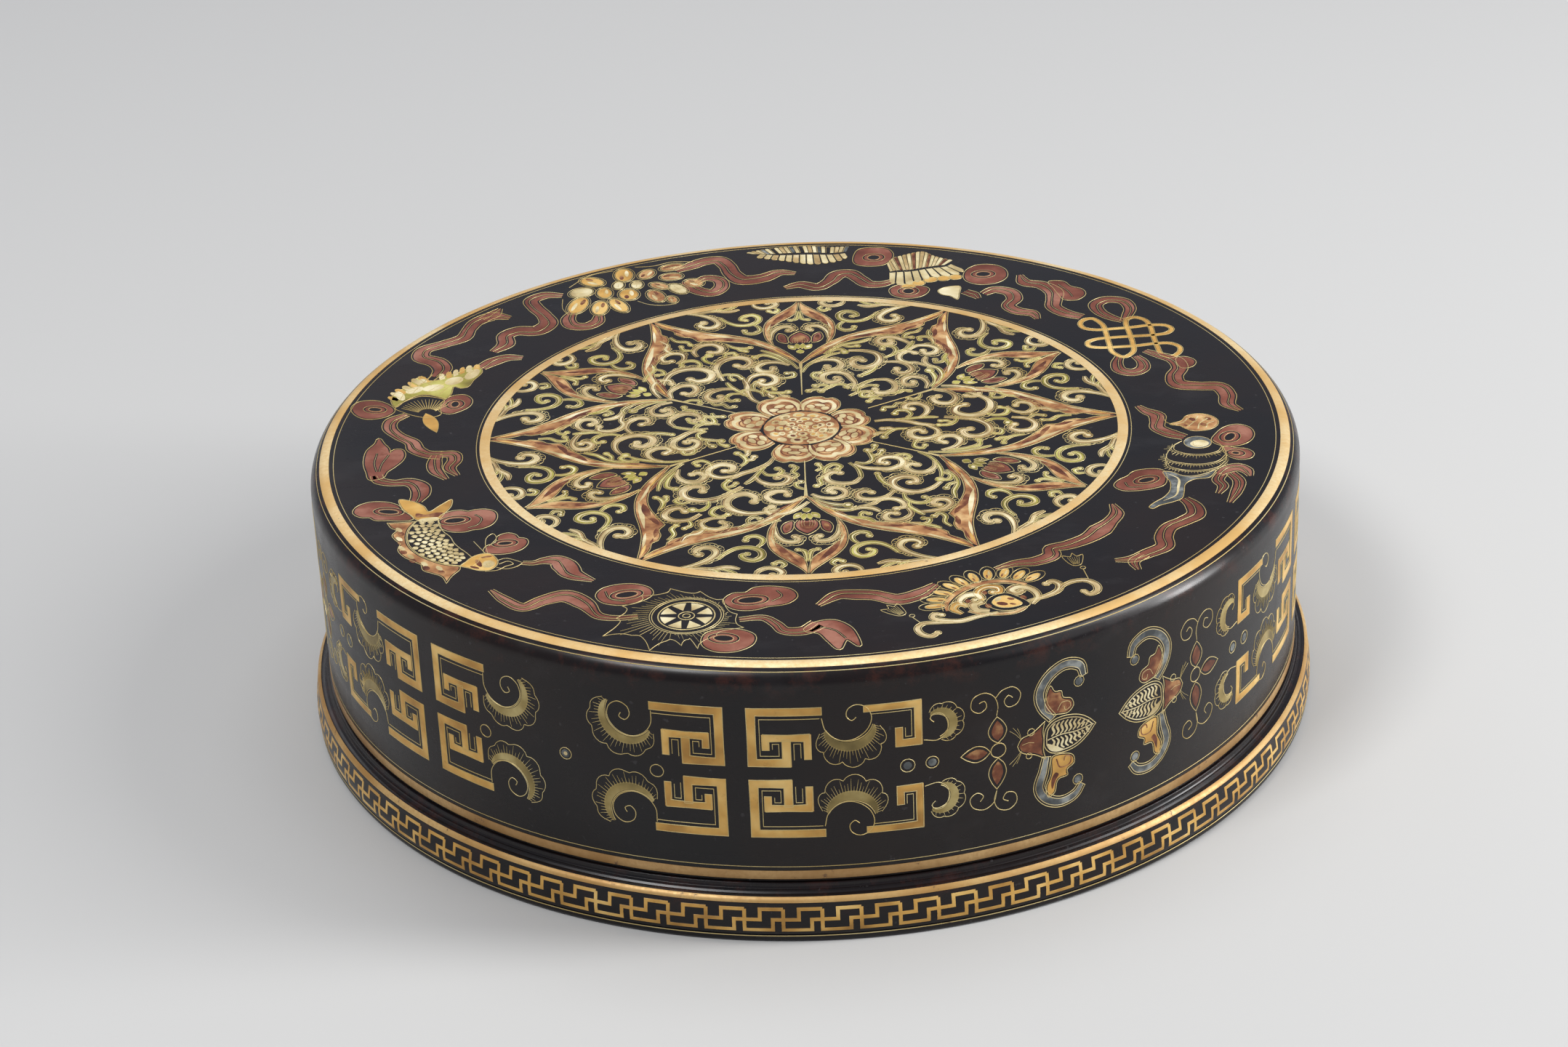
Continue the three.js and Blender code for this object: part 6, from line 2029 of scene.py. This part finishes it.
def vase():
    art = newArt()
    edgedFill(art, "copper", [(114.2, -8.4), (118, -6.2), (120, -2.8), (124, -1.6), (127.4, -3.2),
        (129.4, -6.6), (128.8, -10.4), (126, -13.2), (121.2, -13.8), (118.6, -11.8), (117.2, -9.8)])
    curves(art, 0.5, [(116, -8.8), (118.6, -7.2), (120.2, -4.6)], [(119.8, -10.4), (121.8, -7.4),
        (123.6, -3.4)], [(122.6, -12.4), (123.6, -8.4), (126.4, -5.2)], [(125.2, -11.8), (125.8, -9.2),
        (128, -7.4)], tone="cream")
    for x, y in ((118.6, -9.4), (121.6, -5.6), (124.6, -9.6), (126.4, -5.4)):
        fill(art, "brown", oval(x, y, 0.9, 1.3, 30, 12))
        ring(art, oval(x, y, 1.2, 1.7, 30, 14), 0.26)
    ribbon(art, [(105.6, 5.6), (107.8, 1.8), (110.8, -1.6), (110.6, -6.4), (110.2, -10.4), (113.2, -14.6),
        (117.8, -18)], [0.8, 2.8, 4.4, 3.6, 3.8, 4.2, 2.6])
    curves(art, 0.32, [(112.6, -2.4), (113.4, -7), (115.6, -9)])
    ball = circle(121.3, -22, 4.2, 30)
    fill(art, "blueGrey", ball)
    ring(art, ball, 0.34)
    fill(art, "cream", oval(121.8, -22.9, 2.9, 2.5, 10))
    curves(art, 0.32, [(123.6, -22.2), (121.8, -21), (119.8, -22.4), (120.4, -24.4), (122.6, -24.2)])
    tiers = [([(114.2, -22.8), (113.6, -26.4), (116.8, -29.4), (121.6, -30.4), (126.4, -28.8),
        (128.4, -25.2)], 4.0), ([(110.8, -29.2), (111, -33), (115.4, -36), (120.8, -37), (126, -35.2),
        (128.6, -31.4)], 3.8), ([(110.4, -34.6), (111.2, -38), (115.6, -40.8), (120.6, -41.2),
        (125.4, -39.4), (128.2, -35.6)], 3.0)]
    for points, depth in tiers:
        run = flow(points)
        line(art, run, 0.36)
        line(art, offsetRun(run, -0.75), 0.26)
        inner = offsetRun(run, -1.0)
        end = offsetRun(run, -depth)
        for k in range(2, len(run) - 2):
            stop = inner[k] + (end[k] - inner[k]) * (0.45 + 0.2 * math.sin(k * 1.9))
            band(art, "line", np.stack([inner[k], stop]), [(0, 0.26), (1, 0.1)])
    curves(art, 0.36, [(116.6, -20.6), (114, -23.2), (111.6, -27.6), (110.4, -32), (110, -37.4)],
        [(126.2, -20.8), (128.4, -25), (129, -30.4), (128.4, -35.4)])
    edgedFill(art, "blueGrey", [(108.6, -41.2), (111.2, -41.6), (114.2, -44.4), (117.6, -44.8),
        (121.6, -43.2), (124.4, -41.4), (122, -46.2), (117.2, -47.2), (114.4, -50), (113.4, -55),
        (112.2, -59.4), (108.8, -61.8), (105.2, -63.4), (102.8, -65.4), (101.9, -64.4), (103.8, -61.4),
        (106.8, -58.4), (109.2, -54), (109.9, -48), (108.8, -44.2)])
    for points, width in (([(109.9, -42.9), (112.6, -46.2), (112, -52), (110.6, -57.4), (106.6, -60.6)],
            1.0), ([(115.8, -45.8), (119.8, -45.2), (122.6, -43.6)], 0.7)):
        band(art, "cream", flow(points), [(0, 0.2), (0.4, width), (1, 0.2)])
    bow(art, [(126.2, -21.4), (128.2, -16.2), (131.2, -12.2), (135, -10.8), (138.2, -13.2), (138.8, -18),
        (136.8, -22.4), (133.4, -24.8), (129.2, -24.8)], (131.6, -19, 1.3, 2.6, -24))
    bow(art, [(129.2, -25.8), (132.2, -27.2), (135.4, -28.2), (137, -31), (135.8, -33.8), (132.8, -34.4),
        (129.8, -31.8)], (132, -30.4, 1, 0.7, -20))
    bow(art, [(108.2, -40.4), (104, -39.4), (99.8, -40.8), (98, -43.4), (94.8, -46.2), (93.4, -49.4),
        (95.2, -52.2), (98.6, -52.8), (104, -51.8), (107.8, -49.4)], (103, -46.4, 2.4, 1.2, 24),
        [[(96.4, -47.4), (97.4, -50.6), (101.4, -50.8)]])
    ribbon(art, [(124.8, -44.4), (127.8, -41.4), (131.4, -40.2), (133.8, -42.6), (134.4, -46.4)],
        [1.6, 3.4, 4.0, 3.0, 0.7])
    ribbon(art, [(126.2, -43.8), (124.4, -48.2), (125.4, -52.2), (123.4, -57.2)], [2.4, 2.6, 2.2, 0.6],
        0.15)
    ribbon(art, [(128.8, -43.6), (130.6, -49.4), (128.8, -56.6), (126, -63.4)], [2.4, 2.8, 2.4, 0.6], 0.15)
    ribbon(art, [(112.8, -59.6), (115, -64.2), (115.2, -70), (111.2, -74), (106.4, -77.8), (104.2, -83.6),
        (103.8, -89.4), (98.4, -93.6), (94, -96.6), (88.6, -97.2)], [2.2, 4.2, 4.6, 4.0, 4.0, 4.4, 4.4, 4.0,
        3.2, 0.7])
    ribbon(art, [(97.4, -94.4), (94, -98.4), (94.8, -103.4)], [2.4, 2.4, 0.6], 0.15)
    return art


for maker in (wheel, canopy, fish, conch, pinkBud, lotus, plume, parasol, endlessKnot, vase):
    inlaid(maker.__name__, maker(), "top", skinTop)
    print(maker.__name__, "laid")


# Stage and light

stagePlan = {"half": 12.0, "floor": (0.52, 0.515, 0.5), "rough": 0.9, "air": (0.275, 0.29, 0.335)}


def makeFloor(plan):
    mesh = bpy.data.meshes.new("floor")
    half = plan["half"]
    corners = [(-half, -half, 0), (half, -half, 0), (half, half, 0), (-half, half, 0)]
    mesh.from_pydata(corners, [], [(0, 1, 2, 3)])
    floor = bpy.data.objects.new("floor", mesh)
    bpy.context.scene.collection.objects.link(floor)
    material, tree, shader = plainMaterial("floorPaper")
    give(tree, plan["floor"], shader["Base Color"])
    give(tree, plan["rough"], shader["Roughness"])
    mesh.materials.append(material)


lampPlan = {  # place, size, power
    "key": ((-0.95, -1, 2), (0.7, 0.6), 28.0),
    "fill": ((1.7, -1.2, 1.2), (1, 1.2), 4.0),
    "rim": ((1.75, -0.1, 1.05), (0.5, 1.9), 34.0),
    "glint": ((1.7, -0.12, 0.42), (0.22, 0.5), 7.0),
    "top": ((0.1, 0.6, 2.4), (1.6, 1.2), 16.0),
    "sheen": ((-1.2, 2.2, 1.6), (1, 0.7), 3.5),
}
lampAim = Vector((0, 0, 0.05))


def makeLamp(name, place, size, power):
    data = bpy.data.lights.new(name, "AREA")
    data.shape = "RECTANGLE"
    data.size, data.size_y = size
    data.energy = power
    lamp = bpy.data.objects.new(name, data)
    lamp.location = place
    lamp.rotation_euler = (lampAim - Vector(place)).to_track_quat("-Z", "Y").to_euler()
    bpy.context.scene.collection.objects.link(lamp)


makeFloor(stagePlan)
for name, (place, size, power) in lampPlan.items():
    makeLamp(name + "Lamp", place, size, power)
world = bpy.data.worlds.new("studio")
world.use_nodes = True
give(world.node_tree, stagePlan["air"], world.node_tree.nodes["Background"].inputs["Color"])
bpy.context.scene.world = world
bpy.context.scene.view_settings.view_transform = "Standard"
print("stage and lamps set")


# What stands for what, and what rides on what

for piece, body, slotName, nodes in pieces:
    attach(piece, body)
    if nodes:
        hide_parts(*nodes)
    print(piece.name, len(piece.data.polygons), "faces on", body)

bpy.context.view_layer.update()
